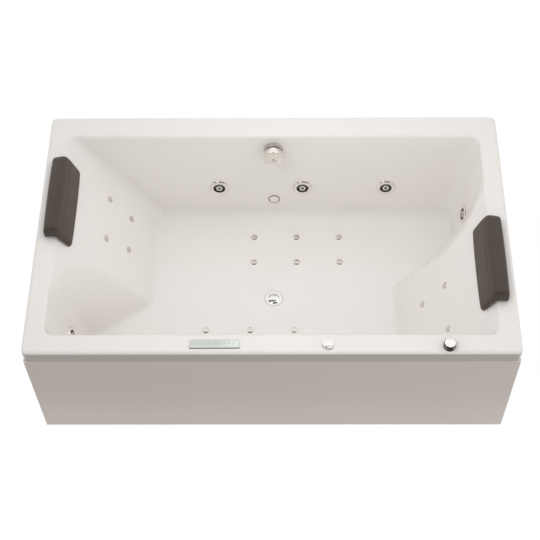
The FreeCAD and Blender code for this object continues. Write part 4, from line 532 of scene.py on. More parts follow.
# %% [markdown]
# The rows of the grid now follow the skin from the foot of the lip to the waste: up the lip and
# round its edge, in over the flat rim, round its inner edge, down the wall, round the foot, in
# over the floor and down into the shallow recess that the waste's ring lies in.

# %% Rows of the skin
DRAIN = np.array([0.0, -0.025])
RECESS_EDGE = 0.043


def at_height(plan, height):
    """Points (n, 3): a plan (n, 2) at one height."""
    return np.concatenate([plan, np.full((len(plan), 1), height)], 1)


def moulding_rows():
    """All rows of the skin, (m, n, 3). A round's rows lie at radius*(1 - cos) from its level
    face, and the rows of the flat rim and the floor share out the way between two outlines."""
    wall = np.concatenate([
        DECK - RIM_ROUND * (1 - np.cos(np.radians(np.arange(0, 91, 10)))),
        np.linspace(DECK - RIM_ROUND, BASIN_FLOOR + FLOOR_ROUND, 34)[1:-1],
        BASIN_FLOOR + FLOOR_ROUND * (1 - np.cos(np.radians(np.arange(90, -1, -7.5)))),
    ])
    plans = rounded_outline(*basin_corners(wall))
    top, foot = plans[0], plans[-1]
    rows = [at_height(outer_outline(0, top), height)
            for height in (LIP_BOTTOM, LIP_BOTTOM + 0.002, DECK - EDGE_ROUND - 0.002)]
    for angle in np.radians(np.linspace(0, 90, 7)):
        rows.append(at_height(outer_outline(EDGE_ROUND * (1 - math.cos(angle)), top),
                              DECK - EDGE_ROUND * (1 - math.sin(angle))))
    edge = outer_outline(EDGE_ROUND, top)
    for share in (0.03, 0.35, 0.7, 0.97):
        rows.append(at_height(edge * (1 - share) + top * share, DECK))
    rows += [at_height(plan, height) for plan, height in zip(plans, wall)]
    way = foot - DRAIN
    distance = np.linalg.norm(way, axis=1, keepdims=True)
    for share in (0.03, 0.25, 0.5, 0.75, 0.92):
        reach = distance * (1 - share) + RECESS_EDGE * share
        rows.append(at_height(DRAIN + way / distance * reach, BASIN_FLOOR))
    for reach, drop in ((RECESS_EDGE, 0), (0.0412, 0.0002), (0.0396, 0.0010), (0.0362, 0.0041),
                        (0.0348, 0.0049), (0.0335, 0.005), (0.0264, 0.005)):
        rows.append(at_height(DRAIN + way / distance * reach, BASIN_FLOOR - drop))
    return np.stack(rows)


rows = moulding_rows()
print("skin grid", rows.shape[:2])

# %% [markdown]
# A grid of points needs only its quads to be a mesh, and from_pydata takes both as whole arrays.
# Several grids may make one piece, as the eight covers of the jets do. Where a piece has two
# finishes, the faces in a certain place get the second one.

# %% Grids become meshes
def grid_faces(rows, columns, closed_columns, closed_rows=False):
    """Quads between neighbours of a rows x columns grid, wrapped round where it is closed."""
    i = np.arange(rows if closed_rows else rows - 1)[:, None]
    j = np.arange(columns if closed_columns else columns - 1)[None, :]
    below, beside = (i + 1) % rows, (j + 1) % columns
    quads = np.stack([i * columns + j, i * columns + beside,
                      below * columns + beside, below * columns + j], -1)
    return quads.reshape(-1, 4)


def new_piece(name, parts, material, body, outward=True):
    """One object at the origin from (points, faces) parts. Points that meet are merged, and
    the faces of closed parts are turned outwards."""
    clouds = [points.reshape(-1, 3) for points, _ in parts]
    starts = np.cumsum([0] + [len(cloud) for cloud in clouds[:-1]])
    faces = np.concatenate([quads + start for (_, quads), start in zip(parts, starts)])
    mesh = bpy.data.meshes.new(name)
    mesh.from_pydata(np.concatenate(clouds), [], faces)
    work = bmesh.new()
    work.from_mesh(mesh)
    bmesh.ops.remove_doubles(work, verts=work.verts, dist=1e-7)
    bmesh.ops.dissolve_degenerate(work, edges=work.edges, dist=1e-8)
    if outward:
        bmesh.ops.recalc_face_normals(work, faces=work.faces)
    work.to_mesh(mesh)
    work.free()
    mesh.shade_smooth()
    mesh.materials.append(material)
    piece = bpy.data.objects.new(name, mesh)
    scene.collection.objects.link(piece)
    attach(piece, body)
    return piece


def repaint(piece, material, chosen):
    """Gives some faces another finish. chosen gets the faces' middles, (n, 3), and says which."""
    mesh = piece.data
    middles = np.empty(len(mesh.polygons) * 3)
    mesh.polygons.foreach_get("center", middles)
    index = np.empty(len(mesh.polygons), np.int32)
    mesh.polygons.foreach_get("material_index", index)
    mesh.materials.append(material)
    index[chosen(middles.reshape(-1, 3)) & (index == 0)] = len(mesh.materials) - 1
    mesh.polygons.foreach_set("material_index", index)


print("quads of the skin", len(grid_faces(*rows.shape[:2], True)))

# %% [markdown]
# Each fitting sits on a wall that leans. A place is a matrix: its Z leaves the wall into the
# basin, its Y climbs the wall and its X runs along it. The front half of the basin is the back
# half turned half round, so one turn gives all the twins.

# %% Places on the walls
HALF_TURN = Matrix.Translation((0, 2 * BASIN_SHIFT, 0)) @ Matrix.Rotation(math.pi, 4, "Z")


def wall_place(origin, normal, climb):
    """Matrix with columns climb x normal, climb, normal and the origin."""
    normal, climb = Vector(normal), Vector(climb)
    turn = Matrix((climb.cross(normal), climb, normal)).transposed().to_4x4()
    return Matrix.Translation(origin) @ turn


def on_back_wall(x, height):
    """Place on the back wall: it faces the front and looks up by the side's lean."""
    return wall_place((x, BASIN_SHIFT + side_half(height), height),
                      (0, -math.cos(SIDE), math.sin(SIDE)), (0, math.sin(SIDE), math.cos(SIDE)))


def on_left_end(offset, height):
    """Place on the left footwell's end wall: it faces right and looks up by the end's lean."""
    return wall_place((-end_half(height), BASIN_SHIFT + offset, height),
                      (math.cos(END), 0, math.sin(END)), (-math.sin(END), 0, math.cos(END)))


def on_left_backrest(offset, height):
    """Place on the left backrest: it faces right and looks up by the backrest's lean."""
    return wall_place((-backrest_half(height), BASIN_SHIFT + offset, height),
                      (math.cos(BACKREST), 0, math.sin(BACKREST)),
                      (-math.sin(BACKREST), 0, math.cos(BACKREST)))


print("half turn round", tuple(HALF_TURN.translation / 2))

# %% [markdown]
# The pipes behind the wall are level, so all the jets' ports have one height. A jet looks up by
# its wall's lean, and its face sits higher than its port by the depth times the sine of that
# lean. The air jets stand in rows on the floor, and in a wide and a narrow pair on a backrest.

# %% Where the fittings are
PORT_HEIGHT, PORT_DEPTH = 0.271, 0.046
JET_COLUMNS, FOOT_JET_OFFSET = (-0.23, 0.12, 0.47), -0.29
OVERFLOW_HEIGHT, LIGHT_HEIGHT, SUCTION_HEIGHT = 0.507, 0.202, 0.183
AIR_ROWS, AIR_COLUMNS = (0.166, 0.293), (-0.085, 0.095, 0.275)
BACKREST_AIR_CENTRE, BACKREST_AIR_PAIRS = 0.211, ((0.36, 0.098), (0.25, 0.078))

left, middle, far = [on_back_wall(x, PORT_HEIGHT + PORT_DEPTH * math.sin(SIDE))
                     for x in JET_COLUMNS]
foot = on_left_end(FOOT_JET_OFFSET, PORT_HEIGHT + PORT_DEPTH * math.sin(END))
jets = {"back_left_jet": left, "back_middle_jet": middle, "back_right_jet": far,
        "right_foot_jet": HALF_TURN @ foot, "front_right_jet": HALF_TURN @ left,
        "front_middle_jet": HALF_TURN @ middle, "front_left_jet": HALF_TURN @ far,
        "left_foot_jet": foot}
OVERFLOW = on_back_wall(0, OVERFLOW_HEIGHT)
LIGHT = on_back_wall(0, LIGHT_HEIGHT)
SUCTION = HALF_TURN @ on_back_wall(0, SUCTION_HEIGHT)
air_places = [Matrix.Translation((x, BASIN_SHIFT + offset, BASIN_FLOOR))
              for offset in AIR_ROWS for x in AIR_COLUMNS]
air_places += [on_left_backrest(BACKREST_AIR_CENTRE + side * spread, height)
               for height, spread in BACKREST_AIR_PAIRS for side in (-1, 1)]
air_places += [HALF_TURN @ place for place in air_places]
print(len(jets), "jets,", len(air_places), "air jets")

# %% [markdown]
# The skin gets its thickness from a Solidify modifier, which also gives the hidden side the
# rough glass-fibre backing. Jets and the suction go through the wall, so their holes are cut
# with plain cylinders by a Boolean, and the result is kept as the piece's mesh.

# %% The moulding
WALL_HOLE, DRILL_REACH = 0.028, 0.03


def placed(points, place):
    """Points moved by a 4x4 place."""
    matrix = np.array(place)
    return points @ matrix[:3, :3].T + matrix[:3, 3]


def round_axis(points, place):
    """Distance from a place's Z axis, and height along it, for points (n, 3)."""
    local = placed(points, place.inverted())
    return np.hypot(local[:, 0], local[:, 1]), local[:, 2]


def drill(place):
    """Closed cylinder through the wall along a place's Z, as a grid: centre, rim, rim, centre."""
    steps = 48
    ring = directions(np.linspace(0, 2 * math.pi, steps, endpoint=False))
    levels = [(0, -DRILL_REACH), (WALL_HOLE, -DRILL_REACH), (WALL_HOLE, DRILL_REACH),
              (0, DRILL_REACH)]
    points = np.stack([at_height(ring * radius, height) for radius, height in levels])
    return placed(points, place), grid_faces(len(levels), steps, True)


def keep_result(piece):
    """Replaces the piece's mesh by what its modifiers make of it."""
    view = bpy.context.evaluated_depsgraph_get()
    mesh = bpy.data.meshes.new_from_object(piece.evaluated_get(view))
    piece.modifiers.clear()
    piece.data = mesh


moulding = new_piece("bathtub_moulding", [(rows, grid_faces(*rows.shape[:2], True))],
                     ACRYLIC, "tub", outward=False)
moulding.data.materials.append(BACKING)
wall = moulding.modifiers.new("wall", "SOLIDIFY")
wall.thickness = SKIN
wall.offset = -1
wall.material_offset = 1
cutter = new_piece("drill", [drill(place) for place in [*jets.values(), SUCTION]], BACKING, "tub")
bore = moulding.modifiers.new("holes", "BOOLEAN")
bore.operation = "DIFFERENCE"
bore.object = cutter
keep_result(moulding)
moulding.data.set_sharp_from_angle(angle=math.radians(40))


def on_the_lip(points):
    """True on the outside of the rim, up to where its edge's round turns inwards: the faces that
    get painted shade.
    """
    outside = ((np.abs(points[:, 0]) > LENGTH / 2 - EDGE_ROUND)
               | (np.abs(points[:, 1]) > WIDTH / 2 - EDGE_ROUND))
    return outside & (points[:, 2] < DECK - 0.7 * EDGE_ROUND)


# The outside of the rim gets painted shade.
repaint(moulding, LIP_PAINTED_SHADE, on_the_lip)
bpy.data.objects.remove(cutter)
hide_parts("tub_shell")
print("moulding", len(moulding.data.polygons), "faces")

# %% [markdown]
# Every turned fitting is a lathe piece: a closed profile of radius and height, carried round the
# axis of its place. Sharp corners of the profile are rounded by a small arc, because a real
# moulded or plated edge always catches a thin line of light, and two points close to each
# corner keep the flat faces flat where the shading is smooth.

# %% Lathe
STEM, STEM_BORE = 0.005, 0.00505


def softened(profile, radius):
    """Profile (n, 2) with each corner cut by an arc. Its ends lie at radius*tan(half turn) from
    the corner, or at two fifths of the shorter side where that is less, and it has six points.
    Corners on the axis and bends of less than 14 degrees stay."""
    profile = np.array(profile, float)
    result = []
    for index, corner in enumerate(profile):
        back = profile[index - 1] - corner
        ahead = profile[(index + 1) % len(profile)] - corner
        lengths = np.linalg.norm(back), np.linalg.norm(ahead)
        back, ahead = back / lengths[0], ahead / lengths[1]
        half = (math.pi - math.acos(np.clip(back @ ahead, -1, 1))) / 2
        if corner[0] < 1e-6 or half < 0.12:
            result.append(corner)
            continue
        leg = min(radius * math.tan(half), 0.4 * min(lengths))
        inward = (back + ahead) / np.linalg.norm(back + ahead)
        centre = corner + inward * leg / math.sin(half)
        start, end = corner + back * leg, corner + ahead * leg
        share, angle = np.linspace(0, 1, 6)[:, None], 2 * half
        arc = (np.sin((1 - share) * angle) * (start - centre)
               + np.sin(share * angle) * (end - centre)) / math.sin(angle)
        extra = min(0.5 * leg, 0.2 * min(lengths))
        result.append(start + back * extra)
        result.extend(centre + arc)
        result.append(end + ahead * extra)
    return np.array(result)


def lathe(profile, place, steps, soft):
    """Closed solid of revolution: x = radius*cos, y = radius*sin, z = height, then the place.
    soft is the radius of the profile's corners."""
    outline = softened(profile, soft)
    angle = np.linspace(0, 2 * math.pi, steps, endpoint=False)
    points = np.stack([outline[:, None, 0] * np.cos(angle), outline[:, None, 0] * np.sin(angle),
                       np.repeat(outline[:, 1:], steps, 1)], -1)
    return placed(points, place), grid_faces(len(outline), steps, True, closed_rows=True)


def arc_points(start, middle, end, count=7):
    """Points of the circle through three profile points, in order. Its centre is where the
    lines half way between them cross, and the angle is shared out evenly."""
    (ax, ay), (bx, by), (cx, cy) = start, middle, end
    scale = 2 * (ax * (by - cy) + bx * (cy - ay) + cx * (ay - by))
    ux = ((ax * ax + ay * ay) * (by - cy) + (bx * bx + by * by) * (cy - ay)
          + (cx * cx + cy * cy) * (ay - by)) / scale
    uy = ((ax * ax + ay * ay) * (cx - bx) + (bx * bx + by * by) * (ax - cx)
          + (cx * cx + cy * cy) * (bx - ax)) / scale
    first = math.atan2(ay - uy, ax - ux)
    turn = (math.atan2(cy - uy, cx - ux) - first + math.pi) % (2 * math.pi) - math.pi
    angle = first + turn * np.linspace(0, 1, count)
    radius = math.hypot(ax - ux, ay - uy)
    return [(ux + radius * math.cos(a), uy + radius * math.sin(a)) for a in angle]


def block(low, high, place):
    """Closed box between two corners, as eight points and six faces."""
    (x0, y0, z0), (x1, y1, z1) = low, high
    points = np.array([(x0, y0, z0), (x1, y0, z0), (x1, y1, z0), (x0, y1, z0),
                       (x0, y0, z1), (x1, y0, z1), (x1, y1, z1), (x0, y1, z1)])
    faces = np.array([(0, 3, 2, 1), (4, 5, 6, 7), (0, 1, 5, 4), (1, 2, 6, 5), (2, 3, 7, 6),
                      (3, 0, 4, 7)])
    return placed(points, place), faces


print("square corner cut to", len(softened([(0, 0), (0.01, 0), (0.01, 0.01), (0, 0.01)], 0.001)),
      "points")

# %% [markdown]
# A water jet is a cover ring on the wall, and inside it a ball nozzle that three thin spokes
# hold in a throat, which is painted dark as shade. The cover's face is a shallow cone that falls
# into the throat, so it mirrors the wall round it and looks as pale as the wall, with one dark
# fleck at the top.

# %% Jets
BALL, BALL_CENTRE, BALL_GAP = 0.0145, -0.004, 0.00006
SPOKES = 3


def jet_cover(place):
    """Cover ring with its sleeve: radius against height, all in metres."""
    rim = arc_points((0.040, 0.0026), (0.0374, 0.0056), (0.031, 0.0070))
    profile = [(0.0208, -0.020), (0.0230, -0.020), (0.0230, 0.0026), (0.038, 0.0026),
               (0.038, 0.0002), (0.040, 0.0002), *rim, (0.0252, 0.0060), (0.0222, 0.0040),
               (0.0208, 0.0008)]
    return lathe(profile, place, 64, 0.0003)


def jet_socket(place):
    """Ring round the ball: from 11 mm behind the wall's face to 3 mm past the ball's equator."""
    inside = [(math.sqrt((BALL + BALL_GAP) ** 2 - h ** 2), h + BALL_CENTRE)
              for h in np.linspace(-0.0069, 0.0029, 9)]
    profile = [(0.0176, -0.0109), *inside, (0.0176, -0.0011)]
    return lathe(profile, place, 64, 0.0003)


def jet_spoke(place, degrees):
    """Spoke from the socket to the sleeve: a six-sided section, as shares of the half width
    against heights, carried outwards while the width narrows from 7 to 5 mm."""
    turn = place @ Matrix.Rotation(math.radians(degrees), 4, "Z")
    reach = np.linspace(0.0172, 0.0214, 5)
    half = np.linspace(0.0035, 0.0026, 5)
    section = np.array([(-1, -0.0108), (1, -0.0108), (1, -0.0066), (0.6, -0.0058), (-0.6, -0.0058),
                        (-1, -0.0066)])
    points = np.stack([np.broadcast_to(reach[:, None], (len(reach), len(section))),
                       half[:, None] * section[:, 0],
                       np.broadcast_to(section[:, 1], (len(reach), len(section)))], -1)
    near_cap = np.array([(0, 1, 2, 3), (0, 3, 4, 5)])
    far_cap = near_cap[:, ::-1] + len(section) * (len(reach) - 1)
    quads = grid_faces(len(reach), len(section), True)
    return placed(points, turn), np.concatenate([quads, near_cap, far_cap])


covers = []
for place in jets.values():
    covers += [jet_cover(place), jet_socket(place)]
    covers += [jet_spoke(place, 90 + step * 360 / SPOKES) for step in range(SPOKES)]
flanges = new_piece("jet_covers", covers, COVER_PLATING, "tub")


def behind_faces(points):
    """For each jet: the points' distances from its axis, and which lie close behind its face."""
    for place in jets.values():
        radius, height = round_axis(points, place)
        yield radius, (height > -0.03) & (height < 0.0056)


def in_a_throat(points):
    """True inside a cover's sleeve and on the ring round its ball, but not on the spokes: the
    faces that get painted shade.
    """
    found = np.zeros(len(points), bool)
    for radius, behind in behind_faces(points):
        found |= behind & ((radius > 0.0204) & (radius < 0.0240) | (radius < 0.0171))
    return found


# The throats are painted dark as shade.
repaint(flanges, DARK_MOULDING_AND_PAINTED_SHADE, in_a_throat)
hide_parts("jet_flanges")
print("covers", len(flanges.data.polygons), "faces")

# %% [markdown]
# The nozzle is a ball that can be tilted by hand. Water leaves by its bore, and air by the small
# tube in the middle, which three webs hold. It is a piece of its own in each jet, because it
# moves: it rides on the body that the jet's tilting joint turns.

# %% Nozzles
def nozzle(place):
    """Ball with a flat collar round its mouth, and a bore that is narrow at the mouth."""
    outside = [(math.sqrt(BALL ** 2 - h ** 2), h + BALL_CENTRE)
               for h in np.linspace(-0.010, 0.0084, 12)]
    collar = arc_points((0.0128, 0.0050), (0.0134, 0.0058), (0.0128, 0.0067), 5)
    profile = [(0.0085, -0.014), *outside, *collar, (0.0074, 0.0067), (0.0066, 0.0060),
               (0.0066, 0.0030), (0.0085, 0.0010)]
    return lathe(profile, place, 64, 0.0002)


def air_pin(place):
    """Small tube in the middle of the mouth, on three webs that reach the bore's wall."""
    tube = [(0.0010, -0.0015), (0.0024, -0.0015), (0.0024, 0.0048), (0.0010, 0.0052)]
    parts = [lathe(tube, place, 24, 0.0002)]
    for step in range(SPOKES):
        turn = place @ Matrix.Rotation(math.radians(30 + step * 360 / SPOKES), 4, "Z")
        parts.append(block((0.0022, -0.0004, -0.001), (0.0086, 0.0004, 0.0008), turn))
    return parts


def in_the_mouth(points):
    """True on the wall of any nozzle's bore, which is painted dark as shade."""
    found = np.zeros(len(points), bool)
    for radius, behind in behind_faces(points):
        found |= behind & (radius > 0.0058) & (radius < 0.0087)
    return found


for name, place in jets.items():
    piece = new_piece(name + "_ball", [nozzle(place), *air_pin(place)], NOZZLE, name + "_nozzle")
    # The bore is painted dark as shade.
    repaint(piece, DARK_MOULDING_AND_PAINTED_SHADE, in_the_mouth)
    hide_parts(name + "_nozzle")
print("last nozzle", len(piece.data.polygons), "faces")

# %% [markdown]
# The twenty air jets are small plated buttons with a low dome. In the photograph each shows a grey
# upper half and a white lower half: the far side of the dome mirrors the shaded wall behind it
# and the near side mirrors the light overhead, so the plating has to be clean and a little dark.

# %% Air jets
def air_button(place):
    """Button of 28 mm on its stem: its dome falls with the square of the radius."""
    edge, top, fall = 0.0134, 0.0036, 0.0020
    dome = [(radius, top - fall * (radius / edge) ** 2) for radius in np.linspace(edge, 0.0014, 9)]
    profile = [(0, -0.014), (STEM, -0.014), (STEM, 0.00005), (0.0140, 0.00005), (0.0140, 0.0011),
               *dome, (0, top)]
    return lathe(profile, place, 40, 0.0003)


buttons = new_piece("air_jet_buttons", [air_button(place) for place in air_places],
                    BUTTON_PLATING, "tub")
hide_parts("air_jet_caps")
print("air jets", len(buttons.data.polygons), "faces")

# %% [markdown]
# Overflow, waste, light and deck controls are turned pieces as well. The overflow is a drum on
# the wall and a turning cap with a groove between them; turning it lifts the waste plug. The
# neck in the groove lies in shade in the photograph, so it gets the dark finish, and so do the
# small hole in the cap's middle and the dot that shows how far the cap is turned.

# %% Overflow
DOT = OVERFLOW @ Matrix.Translation((-0.0251, -0.0152, 0))
drum = new_piece("overflow_drum", [
    lathe([(STEM_BORE, -0.018), (0.025, -0.018), (0.025, 0), (0.038, 0), (0.038, 0.0190),
           (0.0370, 0.0203), (0.0318, 0.0203), (0.0305, 0.022), (STEM_BORE, 0.022)],
          OVERFLOW, 96, 0.0008)], DRUM_PLATING, "tub")
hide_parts("overflow_base")
edge = arc_points((0.038, 0.0545), (0.0369, 0.0569), (0.0345, 0.058))
cap = new_piece("overflow_cap", [
    lathe([(0, -0.012), (STEM, -0.012), (STEM, 0.02235), (0.031, 0.02235), (0.031, 0.0268),
           (0.038, 0.0268), *edge, (0.0026, 0.058), (0.0021, 0.0566), (0, 0.0566)],
          OVERFLOW, 96, 0.0005),
    lathe([(0, 0.0570), (0.0021, 0.0570), (0.0021, 0.0582), (0.0016, 0.0585), (0, 0.0585)],
          DOT, 20, 0.0002)], SOFT_CHROME, "overflow_knob")


def in_the_dark(points):
    """True on the neck between drum and cap and in the cap's centre hole, both painted dark as
    shade, and on its dot.
    """
    radius, height = round_axis(points, OVERFLOW)
    dot_radius, dot_height = round_axis(points, DOT)
    return ((height > 0.021) & (height < 0.0270) & (radius < 0.0376)
            | (radius < 0.0027) & (height > 0.05) | (dot_radius < 0.0022) & (dot_height > 0.0575))


# The neck and the centre hole are painted dark as shade.
repaint(cap, DARK_MOULDING_AND_PAINTED_SHADE, in_the_dark)
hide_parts("overflow_knob")
print("drum and cap", len(drum.data.polygons), "+", len(cap.data.polygons), "faces")

# %% [markdown]
# The waste is a plated ring in the floor's recess, with a plug that stands a little proud of it.
# Below, a bridge of two bars and a hub guides the plug's stem, and shows when the plug is up.

# %% Waste
WASTE = Matrix.Translation((*DRAIN, BASIN_FLOOR))
waste_ring = new_piece("waste_ring", [
    lathe([(0.021, -0.026), (0.02565, -0.026), (0.02565, -0.005), (0.0335, -0.005),
           (0.0335, -0.0025), (0.0330, -0.002), (0.022, -0.002), (0.021, -0.003)],
          WASTE, 80, 0.0003),
    block((-0.0212, -0.005, -0.022), (-0.0041, 0.005, -0.017), WASTE),
    block((0.0041, -0.005, -0.022), (0.0212, 0.005, -0.017), WASTE),
    lathe([(0.00405, -0.022), (0.0065, -0.022), (0.0065, -0.017), (0.00405, -0.017)],
          WASTE, 32, 0.0004)], CHROME, "tub")
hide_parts("drain_ring")
dome = arc_points((0.0249, 0.0004), (0.0150, 0.0041), (0.0020, 0.0060), 15)
plug = new_piece("waste_plug", [
    lathe([(0, -0.035), (0.004, -0.035), (0.004, -0.0057), (0.0205, -0.0057), (0.0205, -0.0017),
           (0.0246, -0.0017), (0.0250, -0.0013), (0.0250, 0.0001), *dome, (0, 0.0060)],
          WASTE, 96, 0.0003)], CHROME, "popup_plug")
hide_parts("popup_plug")
print("plug's top", round(dome[-1][1] * 1000, 1), "mm over the floor")

# %% [markdown]
# The underwater light is a milky lens in a dull plated ring, close to the back wall. Ring and
# lens are two pieces, because they are two materials that are put together in the real one.

# %% Underwater light
light_ring = new_piece("light_ring", [
    lathe([(0, -0.034), (0.0175, -0.034), (0.0175, 0), (0.024, 0), (0.024, 0.0018),
           (0.0225, 0.0028), (0.0203, 0.0028), (0.0203, 0.0004), (0.0155, 0.0004),
           (0.0155, -0.031), (0, -0.031)], LIGHT, 72, 0.0005)], LIGHT_PLATING, "tub")
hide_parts("light_body")
bulge = arc_points((0.0199, 0.0023), (0.010, 0.0033), (0.002, 0.0036), 9)
lens_disc = new_piece("light_glass", [
    lathe([(0, -0.003), (0.0152, -0.003), (0.0152, 0.0005), (0.0200, 0.0005), (0.0200, 0.0020),
           *bulge, (0, 0.0036)], LIGHT, 72, 0.0003)], LENS, "tub")
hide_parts("light_lens")
print("light and lens", len(light_ring.data.polygons), "+", len(lens_disc.data.polygons), "faces")

# %% [markdown]
# Two controls stand on the front rim: a push button with a domed top in a flat ring, and a knob
# that turns to let air into the water jets. The sides of the knob and its base are plating that is
# painted darker, a painted dark reflection that shows as a dark band under a bright top.

# %% Push button and air valve on the rim
CONTROLS_Y = -0.512
BUTTON = Matrix.Translation((0.203, CONTROLS_Y, DECK))
VALVE = Matrix.Translation((0.637, -0.522, DECK))
button_ring = new_piece("button_ring", [
    lathe([(0, -0.040), (0.013, -0.040), (0.013, 0), (0.0255, 0), (0.0255, 0.0030),
           (0.0245, 0.0038), (0.02235, 0.0038), (0.02235, 0.0009), (STEM_BORE, 0.0009),
           (STEM_BORE, -0.032), (0, -0.032)], BUTTON, 80, 0.0006)], CHROME, "tub")
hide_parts("push_button_body")
crown = arc_points((0.0219, 0.0063), (0.0136, 0.00785), (0.002, 0.0088), 13)
button = new_piece("button_dome", [
    lathe([(0, -0.020), (STEM, -0.020), (STEM, 0.0042), (0.0220, 0.0042), (0.0220, 0.0050),
           *crown, (0, 0.0088)], BUTTON, 80, 0.0003)], CHROME, "push_button")
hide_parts("push_button")
valve_base = new_piece("valve_base", [
    lathe([(0, -0.040), (0.013, -0.040), (0.013, 0), (0.023, 0), (0.023, 0.007), (0.021, 0.009),
           (STEM_BORE, 0.009), (STEM_BORE, -0.028), (0, -0.028)], VALVE, 80, 0.0008)],
    CHROME, "tub")
# The base's side gets a painted dark reflection.
repaint(valve_base, PAINTED_DARK_REFLECTION, lambda at: (at[:, 2] > DECK) & (at[:, 2] < DECK + 0.0086)
        & (round_axis(at, VALVE)[0] > 0.0214))
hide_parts("air_valve_body")
valve_knob = new_piece("valve_knob", [
    lathe([(0, -0.020), (STEM, -0.020), (STEM, 0.0093), (0.0205, 0.0093), (0.0215, 0.0103),
           (0.0215, 0.0243), (0.0195, 0.0263), (0.0150, 0.0263), (0.0144, 0.0259), (0, 0.0259)],
          VALVE, 80, 0.0006)], CHROME, "air_valve_knob")
# The knob's side gets a painted dark reflection.
repaint(valve_knob, PAINTED_DARK_REFLECTION, lambda at: (at[:, 2] > DECK + 0.0097)
        & (round_axis(at, VALVE)[0] > 0.0197))
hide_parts("air_valve_knob")
print("button and knob", len(button.data.polygons), "+", len(valve_knob.data.polygons), "faces")

# %% [markdown]
# The touch pad is a slim glass on a thin frame, with a grey gasket under it. The gasket and the
# same grey, painted as shade on the foot and the front side of the frame, show as a darker line in
# front. All three are slabs whose outline is a rounded rectangle, drawn as rings that step in and
# up over the polished edges. A short stub under the frame goes through the rim.

# %% Touch pad
PAD_X, PAD_Y, KEY_STEP = -0.204, CONTROLS_Y, 0.017
PAD = Matrix.Translation((PAD_X, PAD_Y, DECK))


def rounded_slab(half_x, half_y, corner, rings, place):
    """Closed slab: each ring is (inset, height) of a rounded rectangle, whose corner points are
    centre + radius*(cos, sin), and the first and last rings are filled by shrinking to a line."""
    steps = 8
    quarter = directions(np.linspace(0, math.pi / 2, steps))
    square_turn = np.array([[0, -1], [1, 0]])
    unit = np.concatenate([quarter @ np.linalg.matrix_power(square_turn, count).T
                           for count in range(4)])
    signs = np.repeat(np.array([(1, 1), (-1, 1), (-1, -1), (1, -1)]), steps, 0)
    rows = []
    for inset, height in rings:
        radius = max(corner - inset, 0.0002)
        plan = signs * (np.array([half_x, half_y]) - inset - radius) + unit * radius
        rows.append(at_height(plan, height))
    for index, at in ((0, 0), (-1, len(rows) + 1)):
        flat = rows[index] * np.array([1, 0, 1])
        flat[:, 0] = np.clip(flat[:, 0], -(half_x - half_y), half_x - half_y)
        rows.insert(at, flat)
    points = np.stack(rows)
    return placed(points, place), grid_faces(len(rows), len(unit), True)


GASKET_AND_PAINTED_SHADE = finish("pad_gasket_and_painted_shade", tone(128, 124, 118), tone(112, 108, 103), (0.35, 0.5), 300, 0.00003,
                scale=80)
pad_frame = new_piece("pad_frame", [
    rounded_slab(0.090, 0.017, 0.003, [(0.0003, 0), (0, 0.0003), (0, 0.0026), (0.0001, 0.0029),
                                       (0.0004, 0.0030), (0.0021, 0.0030), (0.0024, 0.0028),
                                       (0.0025, 0.0025), (0.0025, 0.0010)], PAD),
    lathe([(0, -0.018), (0.010, -0.018), (0.010, 0.0005), (0, 0.0005)], PAD, 48, 0.0004),
    rounded_slab(0.0908, 0.0176, 0.003, [(0.0002, 0), (0, 0.0002), (0, 0.0011), (0.0003, 0.0014)],
                 PAD @ Matrix.Translation((-0.0003, -0.0022, 0)))],
    CHROME, "tub")
# Gasket grey, also painted as shade on the frame's foot and front side.
repaint(pad_frame, GASKET_AND_PAINTED_SHADE, lambda at: (at[:, 2] > DECK) & (
    (at[:, 2] < DECK + 0.0015) | (at[:, 1] < PAD_Y - 0.0169)))
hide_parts("touch_pad_frame")
print("pad frame", len(pad_frame.data.polygons), "faces")

# %% [markdown]
# The glass's colour and its faint marks are painted by position, with no picture: a chain of
# masks over its Object coordinates. A modulo repeats one key along the pad, a distance from the
# key's middle gives its ring, and comparisons give its stroke and the strip. Each mask then lays
# one colour over the one before.

